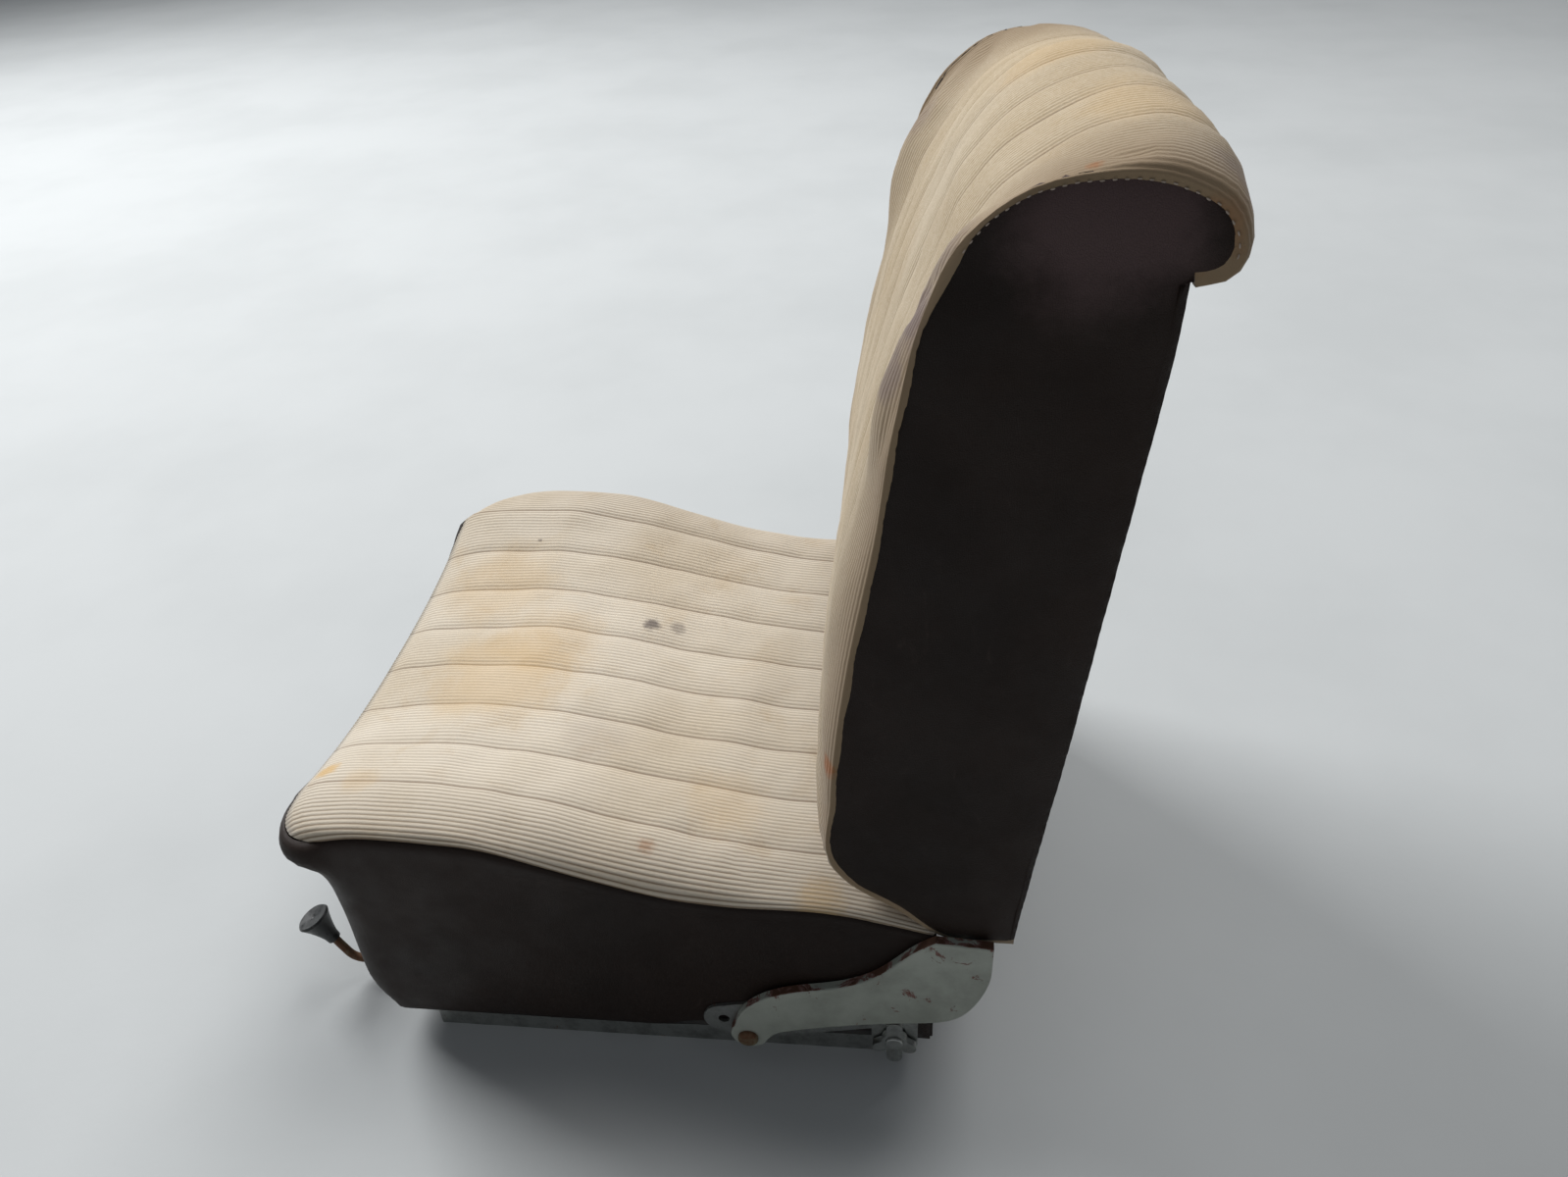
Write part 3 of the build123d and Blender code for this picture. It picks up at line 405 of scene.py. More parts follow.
# ---- materials ------------------------------------------------------------------------------
class Shader:
    """A node material with short calls for what the materials here share."""

    def __init__(self, name, roughness=0.6, metallic=0.0, **fixed):
        self.material = bpy.data.materials.new(name)
        self.material.use_nodes = True
        self.tree = self.material.node_tree
        self.bsdf = self.tree.nodes["Principled BSDF"]
        self.bsdf.inputs["Roughness"].default_value = roughness
        self.bsdf.inputs["Metallic"].default_value = metallic
        for socket, value in fixed.items():
            self.bsdf.inputs[socket.replace("_", " ")].default_value = value
        self.place = self.tree.nodes.new("ShaderNodeTexCoord").outputs["Object"]

    def put(self, socket, value):
        if isinstance(value, bpy.types.NodeSocket):
            self.tree.links.new(value, socket)
        elif isinstance(value, tuple) and len(value) == 3 and len(socket.default_value) == 4:
            socket.default_value = (*value, 1)
        else:
            socket.default_value = value

    def math(self, kind, a, b=0.0, clamp=False):
        node = self.tree.nodes.new("ShaderNodeMath")
        node.operation = kind
        node.use_clamp = clamp
        self.put(node.inputs[0], a)
        self.put(node.inputs[1], b)
        return node.outputs[0]

    def stretched(self, x, y, z):
        node = self.tree.nodes.new("ShaderNodeMapping")
        self.put(node.inputs["Vector"], self.place)
        node.inputs["Scale"].default_value = (x, y, z)
        return node.outputs[0]

    def noise(self, scale, detail=4.0, rough=0.6, place=None, distortion=0.0):
        node = self.tree.nodes.new("ShaderNodeTexNoise")
        self.put(node.inputs["Vector"], place or self.place)
        node.inputs["Scale"].default_value = scale
        node.inputs["Detail"].default_value = detail
        node.inputs["Roughness"].default_value = rough
        node.inputs["Distortion"].default_value = distortion
        return node.outputs["Fac"]

    def cells(self, scale, feature="F1", place=None):
        node = self.tree.nodes.new("ShaderNodeTexVoronoi")
        node.feature = feature
        self.put(node.inputs["Vector"], place or self.place)
        node.inputs["Scale"].default_value = scale
        return node.outputs["Distance"]

    def ramp(self, value, low, high, start=0.0, end=1.0):
        node = self.tree.nodes.new("ShaderNodeMapRange")
        node.interpolation_type = "SMOOTHSTEP"
        for socket, given in zip(("Value", "From Min", "From Max", "To Min", "To Max"),
                                 (value, low, high, start, end)):
            self.put(node.inputs[socket], given)
        return node.outputs["Result"]

    def mix(self, fac, a, b):
        node = self.tree.nodes.new("ShaderNodeMix")
        node.data_type = "RGBA"
        self.put(node.inputs["Factor"], fac)
        self.put(node.inputs["A"], a)
        self.put(node.inputs["B"], b)
        return node.outputs["Result"]

    def attribute(self, name):
        node = self.tree.nodes.new("ShaderNodeAttribute")
        node.attribute_name = name
        return node.outputs["Fac"]

    def facing(self, index):
        """How far a face points along one axis, 0 to 1."""
        split = self.tree.nodes.new("ShaderNodeSeparateXYZ")
        self.put(split.inputs[0], self.tree.nodes.new("ShaderNodeNewGeometry").outputs["Normal"])
        return self.math("ABSOLUTE", split.outputs[index])

    def spot(self, centre, radius, ragged=0.5):
        """A ragged mark round a point given in millimetres: 1 inside, 0 outside."""
        moved = self.tree.nodes.new("ShaderNodeVectorMath")
        moved.operation = "SUBTRACT"
        self.put(moved.inputs[0], self.place)
        moved.inputs[1].default_value = Vector(centre) * MM
        far = self.tree.nodes.new("ShaderNodeVectorMath")
        far.operation = "LENGTH"
        self.put(far.inputs[0], moved.outputs[0])
        rough = self.noise(1.6 / (radius * MM), 5.0, 0.7)
        reach = self.math("MULTIPLY", self.math("SUBTRACT", rough, 0.5), 2 * ragged * radius * MM)
        return self.ramp(self.math("ADD", far.outputs["Value"], reach), radius * MM, 0.35 * radius * MM)

    def bump(self, height, distance, strength=1.0, after=None):
        node = self.tree.nodes.new("ShaderNodeBump")
        node.inputs["Distance"].default_value = distance
        node.inputs["Strength"].default_value = strength
        self.put(node.inputs["Height"], height)
        if after is not None:
            self.put(node.inputs["Normal"], after)
        return node.outputs["Normal"]

    def finish(self, colour, roughness=None, normal=None, metallic=None):
        self.put(self.bsdf.inputs["Base Color"], colour)
        for socket, value in (("Roughness", roughness), ("Normal", normal), ("Metallic", metallic)):
            if value is not None:
                self.put(self.bsdf.inputs[socket], value)
        return self.material


# Marks on the cloth: centre and radius in millimetres, linear colour, strength
RUST = (0.30, 0.11, 0.03)
OCHRE = (0.56, 0.37, 0.16)
INK = (0.10, 0.08, 0.075)
GRIME = (0.15, 0.105, 0.10)
CUSHION_FADED, CUSHION_DEEP = (0.65, 0.585, 0.49), (0.55, 0.47, 0.36)
BACK_FADED, BACK_DEEP = (0.55, 0.45, 0.315), (0.46, 0.355, 0.22)
# How dark each cover's border gets: partly soiling, partly painted shade on the sides turning from the
# light.
CUSHION_EDGE_SOIL_AND_SHADE, BACK_EDGE_SOIL_AND_SHADE = 0.15, 1.0
CUSHION_MARKS = [
    ((195, -279, 270), 15, OCHRE, 0.85), ((240, 8, 246), 12, RUST, 0.45),
    ((-55, -46, 240), 13, INK, 0.8), ((-58, -20, 236), 11, INK, 0.45),
    ((-167, -191, 272), 4, INK, 0.8), ((48, -170, 255), 92, OCHRE, 0.36),
    ((-96, -216, 262), 80, OCHRE, 0.28), ((214, -240, 275), 22, OCHRE, 0.22),
    ((-10, -140, 252), 70, OCHRE, 0.28), ((120, -60, 255), 45, GRIME, 0.12),
    ((170, 60, 225), 50, OCHRE, 0.22), ((262, 150, 205), 30, OCHRE, 0.4),
]
BACK_MARKS = [
    ((262, 160, 362), 12, RUST, 0.95), ((259, 306, 788), 7, RUST, 0.8),
    ((228, 226, 739), 34, GRIME, 0.42), ((240, 212, 702), 34, GRIME, 0.78),
    ((240, 202, 664), 26, GRIME, 0.6), ((150, 352, 790), 60, OCHRE, 0.30),
    ((-30, 314, 790), 60, OCHRE, 0.30), ((268, 366, 752), 26, RUST, 0.35),
    ((236, 380, 765), 30, GRIME, 0.4), ((-262, 366, 752), 26, OCHRE, 0.35),
    ((-232, 210, 700), 34, GRIME, 0.35),
]


def corduroy(name, marks, faded, deep, edge_soil_and_shade):
    """Wide-wale cotton corduroy, faded in patches, with painted shade in the grooves between wales, old
    stains and a border that is darkened by so much, partly soiling and partly painted shade."""
    s = Shader(name, 0.95, Sheen_Weight=0.25, Sheen_Roughness=0.45, Specular_IOR_Level=0.15)
    fibre = s.noise(900, 3, 0.7, s.stretched(1, 0.35, 0.35))
    broad = s.noise(5.5, 3, 0.55)
    blotch = s.noise(17, 5, 0.65, distortion=0.6)
    colour = s.mix(s.ramp(broad, 0.35, 0.68), faded, deep)
    colour = s.mix(s.ramp(blotch, 0.50, 0.78, 0, 0.4), colour, (0.50, 0.36, 0.20))
    colour = s.mix(s.ramp(fibre, 0.35, 0.7, 0, 0.32), colour, (0.78, 0.69, 0.54))
    # Painted shade in the grooves between the wales, stronger towards the border.
    groove_shade_scale = s.math("ADD", 0.5, s.math("MULTIPLY", s.attribute("edge"), 0.5))
    groove = s.math("MULTIPLY", s.attribute("groove"), s.ramp(blotch, 0.2, 0.8, 0.75, 1.0))
    colour = s.mix(s.math("MULTIPLY", groove, groove_shade_scale), colour, (0.15, 0.095, 0.05))
    colour = s.mix(s.math("MULTIPLY", s.attribute("sewn"), 0.55), colour, (0.17, 0.11, 0.07))
    # Painted shade and soiling on the border: the rounded sides that turn from the light are darkened.
    colour = s.mix(s.math("MULTIPLY", s.attribute("edge"), edge_soil_and_shade), colour, (0.27, 0.195, 0.12))
    for centre, radius, shade, strength in marks:
        colour = s.mix(s.math("MULTIPLY", s.spot(centre, radius), strength), colour, shade)
    weave = s.bump(s.noise(1500, 2, 0.6), 0.0003, 0.6)
    fluff = s.bump(s.noise(420, 3, 0.7, s.stretched(1, 0.3, 0.3)), 0.0006, 0.5, weave)
    return s.finish(colour, normal=fluff)


def vinyl(name, painted_sheen_at=None):
    """Dark brown grained vinyl: fine leather grain, scuffs, dust and a dull gloss, with a painted highlight
    round a given point when one is given.
    """
    s = Shader(name, 0.52, Specular_IOR_Level=0.2)
    grain = s.cells(620, "DISTANCE_TO_EDGE")
    fine = s.noise(1400, 2, 0.6)
    cloud = s.noise(7, 4, 0.6)
    scuff = s.ramp(s.noise(46, 7, 0.78, s.stretched(1, 1, 0.35), 1.2), 0.60, 0.74)
    colour = s.mix(s.ramp(cloud, 0.3, 0.7), (0.0120, 0.0066, 0.0044), (0.0205, 0.0115, 0.0080))
    colour = s.mix(s.math("MULTIPLY", scuff, 0.30), colour, (0.085, 0.06, 0.05))
    # Painted highlight: a lighter, purplish patch stands in for the sheen of light on the vinyl.
    if painted_sheen_at:
        centre, radius = painted_sheen_at
        colour = s.mix(s.math("MULTIPLY", s.spot(centre, radius, 0.35), 0.7), colour, (0.110, 0.070, 0.070))
    rough = s.ramp(s.noise(24, 5, 0.6), 0.25, 0.75, 0.40, 0.60)
    crease = s.bump(s.noise(38, 4, 0.5, s.stretched(1, 1, 0.5)), 0.002, 0.35)
    leather = s.bump(s.ramp(grain, 0.0, 0.12), 0.00035, 0.55, crease)
    return s.finish(colour, rough, s.bump(fine, 0.00012, 0.4, leather))


def zinc(name):
    """Zinc-plated steel gone dull, with dark handling marks, white bloom and a little rust."""
    s = Shader(name, 0.4, 1.0)
    cloud = s.noise(42, 6, 0.65)
    colour = s.mix(s.ramp(cloud, 0.35, 0.7), (0.46, 0.47, 0.45), (0.24, 0.245, 0.23))
    rust = s.ramp(s.noise(85, 7, 0.7, distortion=0.8), 0.62, 0.72)
    colour = s.mix(rust, colour, (0.19, 0.075, 0.028))
    metal = s.math("SUBTRACT", 1.0, rust, True)
    rough = s.ramp(cloud, 0.3, 0.7, 0.28, 0.55)
    return s.finish(colour, rough, s.bump(s.noise(260, 5, 0.7), 0.0004, 0.4), metal)


def arm_paint(name):
    """Worn grey-green paint over primer: chipped to pinkish primer and rust along the flanges."""
    s = Shader(name, 0.55)
    cloud = s.noise(16, 5, 0.65)
    colour = s.mix(s.ramp(cloud, 0.3, 0.72), (0.36, 0.38, 0.33), (0.235, 0.25, 0.21))
    flange = s.ramp(s.facing(0), 0.75, 0.35)
    worn = s.noise(34, 7, 0.72, distortion=0.7)
    chip_level = s.math("ADD", worn, s.math("MULTIPLY", flange, 0.17))
    primer = s.ramp(chip_level, 0.63, 0.66)
    rust = s.ramp(chip_level, 0.68, 0.72)
    colour = s.mix(primer, colour, (0.185, 0.095, 0.08))
    colour = s.mix(rust, colour, (0.085, 0.035, 0.018))
    scratch = s.ramp(s.noise(60, 5, 0.8, s.stretched(1, 0.4, 2.2), 0.4), 0.68, 0.72)
    colour = s.mix(s.math("MULTIPLY", scratch, 0.7), colour, (0.42, 0.43, 0.40))
    rough = s.math("ADD", 0.42, s.math("MULTIPLY", primer, 0.4))
    depth = s.bump(s.math("SUBTRACT", 1.0, primer), 0.0004, 0.7)
    return s.finish(colour, rough, s.bump(s.noise(300, 4, 0.7), 0.0002, 0.35, depth))


def rusty(name):
    """Olive-brown surface rust over old plating."""
    s = Shader(name, 0.7, 0.25)
    patch = s.noise(55, 7, 0.72, distortion=0.5)
    colour = s.mix(s.ramp(patch, 0.38, 0.62), (0.17, 0.135, 0.075), (0.13, 0.055, 0.025))
    colour = s.mix(s.ramp(s.noise(240, 4, 0.7), 0.62, 0.72, 0, 0.6), colour, (0.32, 0.26, 0.16))
    rough = s.ramp(patch, 0.3, 0.7, 0.5, 0.85)
    return s.finish(colour, rough, s.bump(s.noise(420, 5, 0.75), 0.0006, 0.6))


def black_paint(name):
    """Satin black frame paint with dust on it and rust specks."""
    s = Shader(name, 0.5)
    dust = s.ramp(s.noise(28, 5, 0.65), 0.4, 0.75, 0, 0.45)
    colour = s.mix(dust, (0.014, 0.014, 0.015), (0.10, 0.088, 0.070))
    rust = s.ramp(s.noise(95, 7, 0.72), 0.63, 0.68)
    colour = s.mix(rust, colour, (0.15, 0.055, 0.022))
    rough = s.ramp(dust, 0, 0.45, 0.36, 0.75)
    return s.finish(colour, rough, s.bump(s.noise(210, 5, 0.7), 0.0004, 0.45))


def spring_steel(name):
    s = Shader(name, 0.42, 0.9)
    stain = s.noise(70, 6, 0.7)
    colour = s.mix(s.ramp(stain, 0.4, 0.7), (0.20, 0.185, 0.165), (0.12, 0.060, 0.032))
    rough = s.ramp(stain, 0.3, 0.7, 0.34, 0.7)
    return s.finish(colour, rough, s.bump(s.noise(500, 4, 0.7), 0.0003, 0.4))


def nylon(name):
    s = Shader(name, 0.42, Subsurface_Weight=0.1)
    colour = s.mix(s.ramp(s.noise(60, 5, 0.6), 0.35, 0.7), (0.62, 0.58, 0.46), (0.30, 0.26, 0.18))
    return s.finish(colour, s.ramp(s.noise(90, 4, 0.6), 0.3, 0.7, 0.35, 0.6),
                    s.bump(s.noise(350, 3, 0.6), 0.0002, 0.3))


def foam(name):
    """Aged open-cell foam: yellowed, with painted shade in its pores."""
    s = Shader(name, 0.95)
    pores = s.cells(330)
    colour = s.mix(s.ramp(s.noise(11, 4, 0.6), 0.3, 0.7), (0.62, 0.44, 0.17), (0.44, 0.27, 0.09))
    # Painted shade in the pores.
    colour = s.mix(s.ramp(pores, 0.0, 0.45, 0.65, 0), colour, (0.16, 0.09, 0.03))
    return s.finish(colour, normal=s.bump(pores, 0.0012, 0.8))


def black_knob(name):
    """Moulded black plastic, glossy where fingers rub it, scuffed and dusty elsewhere."""
    s = Shader(name, 0.35, Specular_IOR_Level=0.5)
    haze = s.noise(120, 5, 0.65)
    colour = s.mix(s.ramp(haze, 0.45, 0.8, 0, 0.6), (0.011, 0.012, 0.012), (0.05, 0.053, 0.052))
    rough = s.ramp(haze, 0.3, 0.75, 0.24, 0.55)
    return s.finish(colour, rough, s.bump(s.noise(600, 4, 0.7), 0.00015, 0.35))


def thread(name):
    s = Shader(name, 0.8)
    colour = s.mix(s.noise(700, 3, 0.6), (0.52, 0.44, 0.36), (0.30, 0.23, 0.19))
    return s.finish(colour, normal=s.bump(s.noise(2600, 2, 0.5), 0.0002, 0.6))


FINISHES = {
    "zinc_plated_steel": zinc("zinc_plate"), "frame_black": black_paint("black_paint"),
    "nylon": nylon("natural_nylon"), "spring_wire": spring_steel("spring_steel"), "foam": foam("old_foam"),
    "arm_paint": arm_paint("grey_green_paint"), "rusty_steel": rusty("surface_rust"),
    "knob_plastic": black_knob("black_moulding"), "vinyl": vinyl("brown_vinyl"),
    "corduroy": corduroy("plain_corduroy", [], CUSHION_FADED, CUSHION_DEEP, 0.3),
}


def dress_frame():
    """Gives every carried-over CAD node the finish of its slot."""
    for row in frame["record"]["subparts"]:
        node = frame["nodes"][row["node"]]
        finish = FINISHES[row["material_slot"]]
        if not node.material_slots:
            node.data.materials.append(finish)
        for place in node.material_slots:
            place.material = finish


# ---- cushion and backrest covers ------------------------------------------------------------
def cushion_cover():
    """The cushion's corduroy top. Gives back its surface, which the skirt is sewn to."""
    sewn = [(k + 0.5) * PLEAT for k in range(-4, 4)]
    piece, grid = quilt("cushion_cover_cloth", cushion_grid, sewn, CUSHION_PAD)
    cloth = corduroy("cushion_corduroy", CUSHION_MARKS, CUSHION_FADED, CUSHION_DEEP, CUSHION_EDGE_SOIL_AND_SHADE)
    piece.data.materials.append(cloth)
    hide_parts("cushion_cover")
    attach(piece, "seat_base")
    return grid


def back_cover():
    """The corduroy over the backrest's front and head roll."""
    sewn = [k * PLEAT for k in range(-3, 4)]
    piece, _ = quilt("back_cover_cloth", back_grid, sewn, BACK_PAD)
    cloth = corduroy("back_corduroy", BACK_MARKS, BACK_FADED, BACK_DEEP, BACK_EDGE_SOIL_AND_SHADE)
    piece.data.materials.append(cloth)
    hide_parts("back_cover", "back_foam")
    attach(piece, "backrest")


def foam_pad():
    """The cushion's foam, seen from under the seat between the springs."""
    low, high = (np.array(c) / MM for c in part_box("cushion_foam"))
    half = high[0] - FOAM_INSET
    front = low[1] + FOAM_FRONT_INSET
    rear = high[1] - FOAM_REAR_INSET
    x = np.linspace(-1, 1, FOAM_STEPS)[None, :] * half
    y = np.linspace(front, rear, FOAM_STEPS)[:, None]
    x, y = np.broadcast_arrays(x, y)
    rim = np.minimum(half - np.abs(x), np.minimum(y - front, rear - y))
    top = height_at(CUSHION_MIDDLE, y) - FOAM_UNDER_TOP
    bottom = low[2] + 2 + 10 * np.exp(-rim / 7.0)
    upper = np.stack([x, y, top - 9 * np.exp(-rim / 9.0)], 2)
    lower = np.stack([x, y, bottom + waves(upper, 70.0, 21) * 1.2 * (1 - np.exp(-rim / 9.0))], 2)
    piece = closed_sheet("cushion_foam_pad", upper, lower)
    piece.data.materials.append(FINISHES["foam"])
    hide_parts("cushion_foam")
    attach(piece, "seat_base")


# ---- vinyl ----------------------------------------------------------------------------------
def solid_sheet(name, outer, thickness, material, body, nodes):
    """A closed sheet of vinyl: the grid is its outer face, and an inner face stands thickness behind."""
    piece = closed_sheet(name, outer, outer - grid_normals(outer) * thickness)
    piece.data.materials.append(material)
    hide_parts(*nodes)
    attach(piece, body)


def skirt_plan(count):
    """The skirt's line seen from above, from the right rear round the front to the left rear."""
    corner_x = SKIRT_SIDE - SKIRT_CORNER_R
    corner_y = SKIRT_FRONT + SKIRT_CORNER_R
    right = [(-SKIRT_SIDE, CUSHION_REAR)]
    for a in np.linspace(0, math.pi / 2, 30):
        x = -corner_x - SKIRT_CORNER_R * math.cos(a)
        right.append((x, corner_y - SKIRT_CORNER_R * math.sin(a)))
    left = [(-x, y) for x, y in reversed(right)]
    return resample(right + left, count)


def skirt(cushion):
    """The vinyl wrapped round the cushion's sides and front, sewn to the corduroy's edge.

    It is drawn in behind the hinge brackets and along the sweep of the folding arms.
    """
    border = np.vstack([cushion[::-1, 0], cushion[0, 1:-1], cushion[:, -1]])
    columns, rows = 301, 46
    side_hem, front_hem = SKIRT_HEM
    top = resample(border, columns)
    plan = skirt_plan(columns)
    run = np.gradient(plan, axis=0)
    out = np.stack([run[:, 1], -run[:, 0]], 1)
    out /= np.linalg.norm(out, axis=1, keepdims=True)
    forward = np.clip(-out[:, 1], 0, 1)
    corner = 4 * forward * (1 - forward)
    t = np.linspace(0, 1, rows)[:, None]
    z = SKIRT_BOTTOM + (top[:, 2] - 2 - SKIRT_BOTTOM) * t
    swept = smoothstep(plan[None, :, 1], -10, 40) * (1 - forward)
    pressed = swept * (1 - smoothstep(z, 95, 135))
    hem = -(front_hem * forward + side_hem * (1 - forward)) * np.clip(1 - (z - 38) / 50, 0, 1) ** 2.5
    belly = SKIRT_BELLY * np.sin(math.pi * t) * (1 - forward)
    out_by = hem + belly * (1 - 0.7 * swept) * (1 - pressed) - 1.8 * pressed
    flat = plan[None] + out[None] * out_by[..., None]
    reach = smoothstep(z, 190, 262) * smoothstep(t, 0.55, 0.97)
    bulge = (9.0 * forward + 5.0 * corner) * np.exp(-(((t - 0.93) / 0.06) ** 2))
    flat = flat * (1 - reach[..., None]) + top[None, :, :2] * reach[..., None]
    flat = flat + out[None] * bulge[..., None]
    tuck = -3.5 * smoothstep(t, 0.975, 1.0)
    flat = flat + out[None] * (tuck + 1.2 * smoothstep(t, 0.9, 0.97))[..., None]
    grid = np.concatenate([flat, z[..., None]], 2)
    wrinkle = waves(grid * [1, 1, 0.45], 48.0, 8) * 0.8 + waves(grid, 140.0, 9) * 1.5
    wrinkle *= smoothstep(t, 0.0, 0.15) * smoothstep(t, 1.0, 0.9) * (1 - 0.75 * swept) * (1 - pressed)
    grid[..., :2] += out[None] * wrinkle[..., None]
    solid_sheet("cushion_skirt_vinyl", grid[:, ::-1], SKIRT_WALL, FINISHES["vinyl"], "seat_base",
                ["front_skirt", "side_skirt_left", "side_skirt_right"])


def panel_outline():
    """A side panel's lines: its bottom, its front up to the crown, its rear up to the crown, and
    the stretch of its seam that shows stitches."""
    u = even_stations(BACK_SEAM, 4.0)
    seam = along(BACK_SEAM, u)
    corner = np.argmin(np.hypot(seam[:, 0] - 205, seam[:, 1] - 227))
    crown = np.argmax(seam[:, 1])
    hook = seam[crown:][::-1]
    stitched = seam[seam[:, 1] > STITCHED_ABOVE]
    return seam[: corner + 1][::-1], seam[corner : crown + 1], np.vstack([PANEL_REAR, hook[1:]]), stitched


def side_panel(side):
    """One vinyl side panel: a bulged sheet between the corduroy's edge and the seat's rear edge."""
    bottom, front, back, stitched = panel_outline()
    rows, columns = 150, 46
    f = resample(front, rows)
    b = resample(back, rows)
    low = resample(bottom, columns)
    s = np.linspace(0, 1, columns)
    flat = f[:, None] * (1 - s)[None, :, None] + b[:, None] * s[None, :, None]
    sag = low - (f[0] * (1 - s)[:, None] + b[0] * s[:, None])
    fade = np.exp(-np.linspace(0, 1, rows) / 0.07)
    flat = flat + sag[None] * fade[:, None, None]
    ring = np.vstack([low, resample(back, 200), resample(front, 200)])
    far = np.min(np.linalg.norm(flat[:, :, None] - ring[None, None], axis=3), axis=2)
    lip = 1.3 * np.sin(flat[..., 1] / 9.0) * np.exp(-far / 6.0)
    x = BACK_EDGE - 2.2 + 5.2 * (1 - np.exp(-far / 9.0)) + lip * 0.4
    grid = np.concatenate([x[..., None], flat], 2)
    x = x + waves(grid * [1, 1, 0.6], 90.0, 12) * 1.3 * (1 - np.exp(-far / 20.0))
    x = x - 2.6 * np.exp(-(((flat[..., 1] - 735) / 16.0) ** 2)) * np.exp(-far / 40.0)
    grid[..., 0] = x * side
    grid[..., 2] -= roll_sag(grid[..., 0], grid[..., 1], grid[..., 2])
    name = "left" if side > 0 else "right"
    outer = grid if side > 0 else grid[:, ::-1]
    solid_sheet(f"back_side_vinyl_{name}", outer, VINYL_PANEL, SIDE_VINYL_WITH_PAINTED_SHEEN, "backrest",
                [f"back_side_panel_{name}"])
    stitches(f"panel_stitching_{name}", stitched, side)


def stitches(name, line, side):
    """A row of short pale stitches just inside the panel's sewn edge."""
    count = int(np.linalg.norm(np.diff(line, axis=0), axis=1).sum() / STITCH_PITCH)
    centres = resample(line, count)
    run = np.gradient(centres, axis=0)
    run /= np.linalg.norm(run, axis=1, keepdims=True)
    rng = np.random.default_rng(5)
    points, faces = [], []
    for centre, way in zip(centres[3:-2], run[3:-2]):
        across = np.array([way[1], -way[0]])
        middle = centre + across * (2.6 + rng.uniform(-0.4, 0.4))
        start = len(points)
        for along_by, fat in ((-0.5, 0.35), (-0.25, 1.0), (0.25, 1.0), (0.5, 0.35)):
            at = middle + way * STITCH_LENGTH * along_by
            for k in range(STITCH_SIDES):
                a = 2 * math.pi * k / STITCH_SIDES
                spread = across * STITCH_R * fat * math.cos(a)
                x = BACK_EDGE + 0.4 + STITCH_R * fat * math.sin(a) - 0.9 * abs(along_by)
                z = at[1] + spread[1]
                points.append((side * x, at[0] + spread[0], z - roll_sag(side * BACK_EDGE, at[0], z)))
        for ring in range(3):
            for k in range(STITCH_SIDES):
                a = start + ring * STITCH_SIDES + k
                b = start + ring * STITCH_SIDES + (k + 1) % STITCH_SIDES
                over = (a, b, b + STITCH_SIDES, a + STITCH_SIDES)
                faces.append(over if side < 0 else over[::-1])
        end = [start + k for k in range(STITCH_SIDES)]
        tip = [start + 3 * STITCH_SIDES + k for k in range(STITCH_SIDES)]
        faces += [end[::-1], tip] if side < 0 else [end, tip[::-1]]
    piece = mesh_object(name, points, faces)
    piece.data.materials.append(THREAD)
    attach(piece, "backrest")


def rear_sheet():
    """The vinyl over the back of the backrest, from under the head roll to the lower edge."""
    rows, columns = 90, 80
    side = resample(REAR_SHEET, rows)
    x = np.linspace(-1, 1, columns)
    full = np.sqrt(np.clip(1 - np.abs(x) ** 14, 0, 1))
    t = np.linspace(0, 1, rows)[:, None]
    bow = 7.0 * (1 - x[None] ** 2) * np.sin(math.pi * t)
    y = side[:, :1] - 6 + 6 * full[None] + bow
    z = side[:, 1:] + 0 * y
    grid = np.stack([np.broadcast_to(x * (BACK_EDGE + 0.3), y.shape), y, z], 2)
    grid[..., 1] += waves(grid * [0.6, 1, 1], 120.0, 15) * 1.6 * full[None]
    solid_sheet("rear_vinyl", grid[:, ::-1], VINYL_PANEL, FINISHES["vinyl"], "backrest", ["rear_panel"])


# ---- camera, light and floor ----------------------------------------------------------------
CAMERA_AT = (869.5, 220.0, 957.7)
CAMERA_YAW, CAMERA_PITCH, CAMERA_ROLL = 7.8, 35.5, 3.4
SENSOR = 36.0
LENS = 26.567
FLOOR_HALF = 14.0               # metres


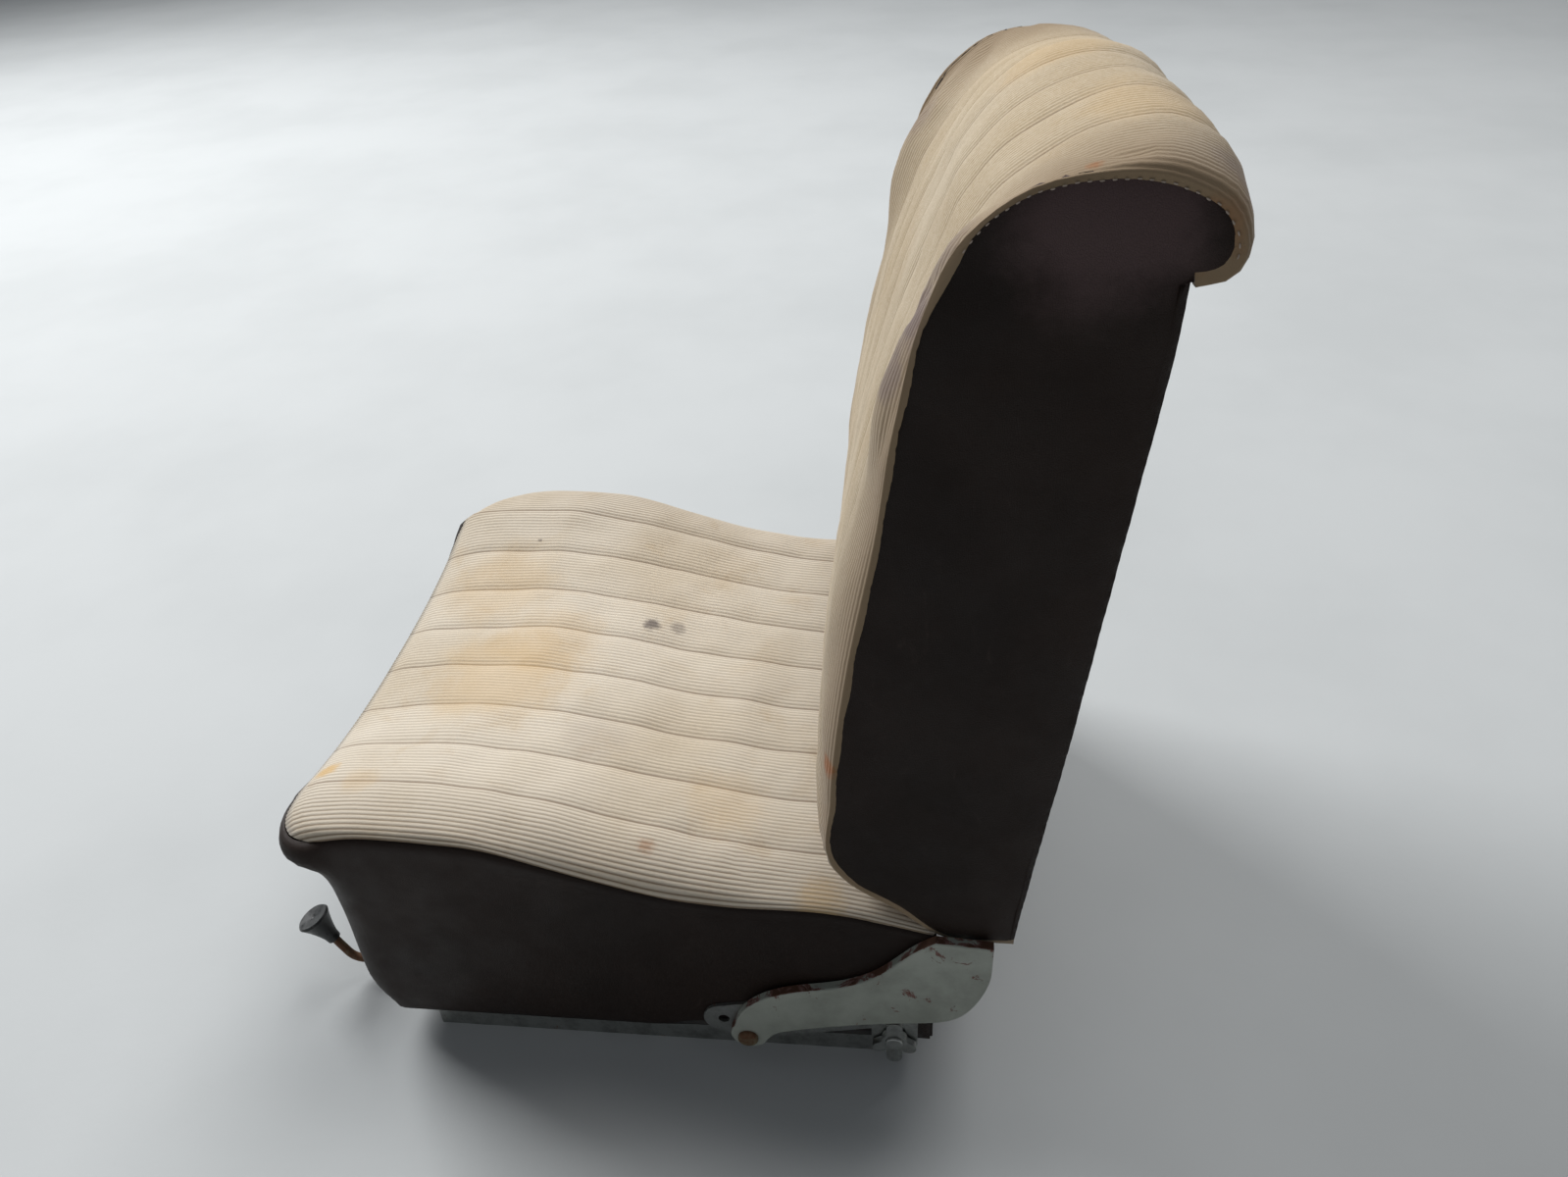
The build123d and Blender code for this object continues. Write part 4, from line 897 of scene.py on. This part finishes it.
def camera():
    """The viewpoint: looks along -X, turned by yaw towards the front, tilted down, then rolled."""
    yaw, pitch, roll = (math.radians(a) for a in (CAMERA_YAW, CAMERA_PITCH, CAMERA_ROLL))
    ahead = Vector((-math.cos(yaw) * math.cos(pitch), -math.sin(yaw) * math.cos(pitch), -math.sin(pitch)))
    right = ahead.cross(Vector((0, 0, 1))).normalized()
    down = ahead.cross(right)
    rolled_right = right * math.cos(roll) + down * math.sin(roll)
    rolled_down = down * math.cos(roll) - right * math.sin(roll)
    data = bpy.data.cameras.new("camera")
    data.sensor_width = SENSOR
    data.lens = LENS
    data.clip_start = 0.02
    eye = bpy.data.objects.new("camera", data)
    turn = Matrix((rolled_right, -rolled_down, -ahead)).transposed().to_4x4()
    eye.matrix_world = Matrix.Translation(Vector(CAMERA_AT) * MM) @ turn
    bpy.context.scene.collection.objects.link(eye)
    bpy.context.scene.camera = eye


def softbox(name, at, towards, size, power, colour=(1, 1, 1)):
    """A rectangular lamp at one place, aimed at another, both in metres."""
    data = bpy.data.lights.new(name, "AREA")
    data.shape = "RECTANGLE"
    data.size, data.size_y = size
    data.energy = power
    data.color = colour
    lamp = bpy.data.objects.new(name, data)
    aim = (Vector(towards) - Vector(at)).to_track_quat("-Z", "Y")
    lamp.matrix_world = Matrix.Translation(at) @ aim.to_matrix().to_4x4()
    bpy.context.scene.collection.objects.link(lamp)


def studio():
    """A dim sky, three softboxes and a pale floor."""
    world = bpy.data.worlds.new("studio")
    world.use_nodes = True
    world.node_tree.nodes["Background"].inputs["Color"].default_value = (0.86, 0.92, 1.0, 1)
    world.node_tree.nodes["Background"].inputs["Strength"].default_value = 0.15
    bpy.context.scene.world = world
    bpy.context.scene.view_settings.view_transform = "Standard"
    seat = (0, 0, 0.35)
    softbox("key", (-3.0, -4.2, 4.6), seat, (3.4, 3.0), 470, (0.98, 0.99, 1.0))
    softbox("overhead", (-2.4, 1.6, 5.6), seat, (3.6, 3.6), 210)
    softbox("fill", (2.6, -0.6, 1.5), seat, (1.8, 1.6), 3)
    s = Shader("pale_floor", 0.8)
    tint = s.mix(s.ramp(s.noise(1.6, 4, 0.6), 0.35, 0.7), (0.50, 0.515, 0.515), (0.465, 0.48, 0.48))
    s.finish(tint, normal=s.bump(s.noise(60, 5, 0.6), 0.0006, 0.4))
    far = FLOOR_HALF / MM
    floor_corners = [(-far, -far, 0), (far, -far, 0), (far, far, 0), (-far, far, 0)]
    floor = mesh_object("floor", floor_corners, [(0, 1, 2, 3)], smooth=False)
    floor.data.materials.append(s.material)


# The side panels' vinyl, with a painted highlight near the top of the left side panel.
SIDE_VINYL_WITH_PAINTED_SHEEN = vinyl("side_vinyl", ((268, 318, 764), 72))
THREAD = thread("pale_thread")

camera()
studio()
dress_frame()
cushion_surface = cushion_cover()
back_cover()
foam_pad()
skirt(cushion_surface)
for which in (1, -1):
    side_panel(which)
rear_sheet()
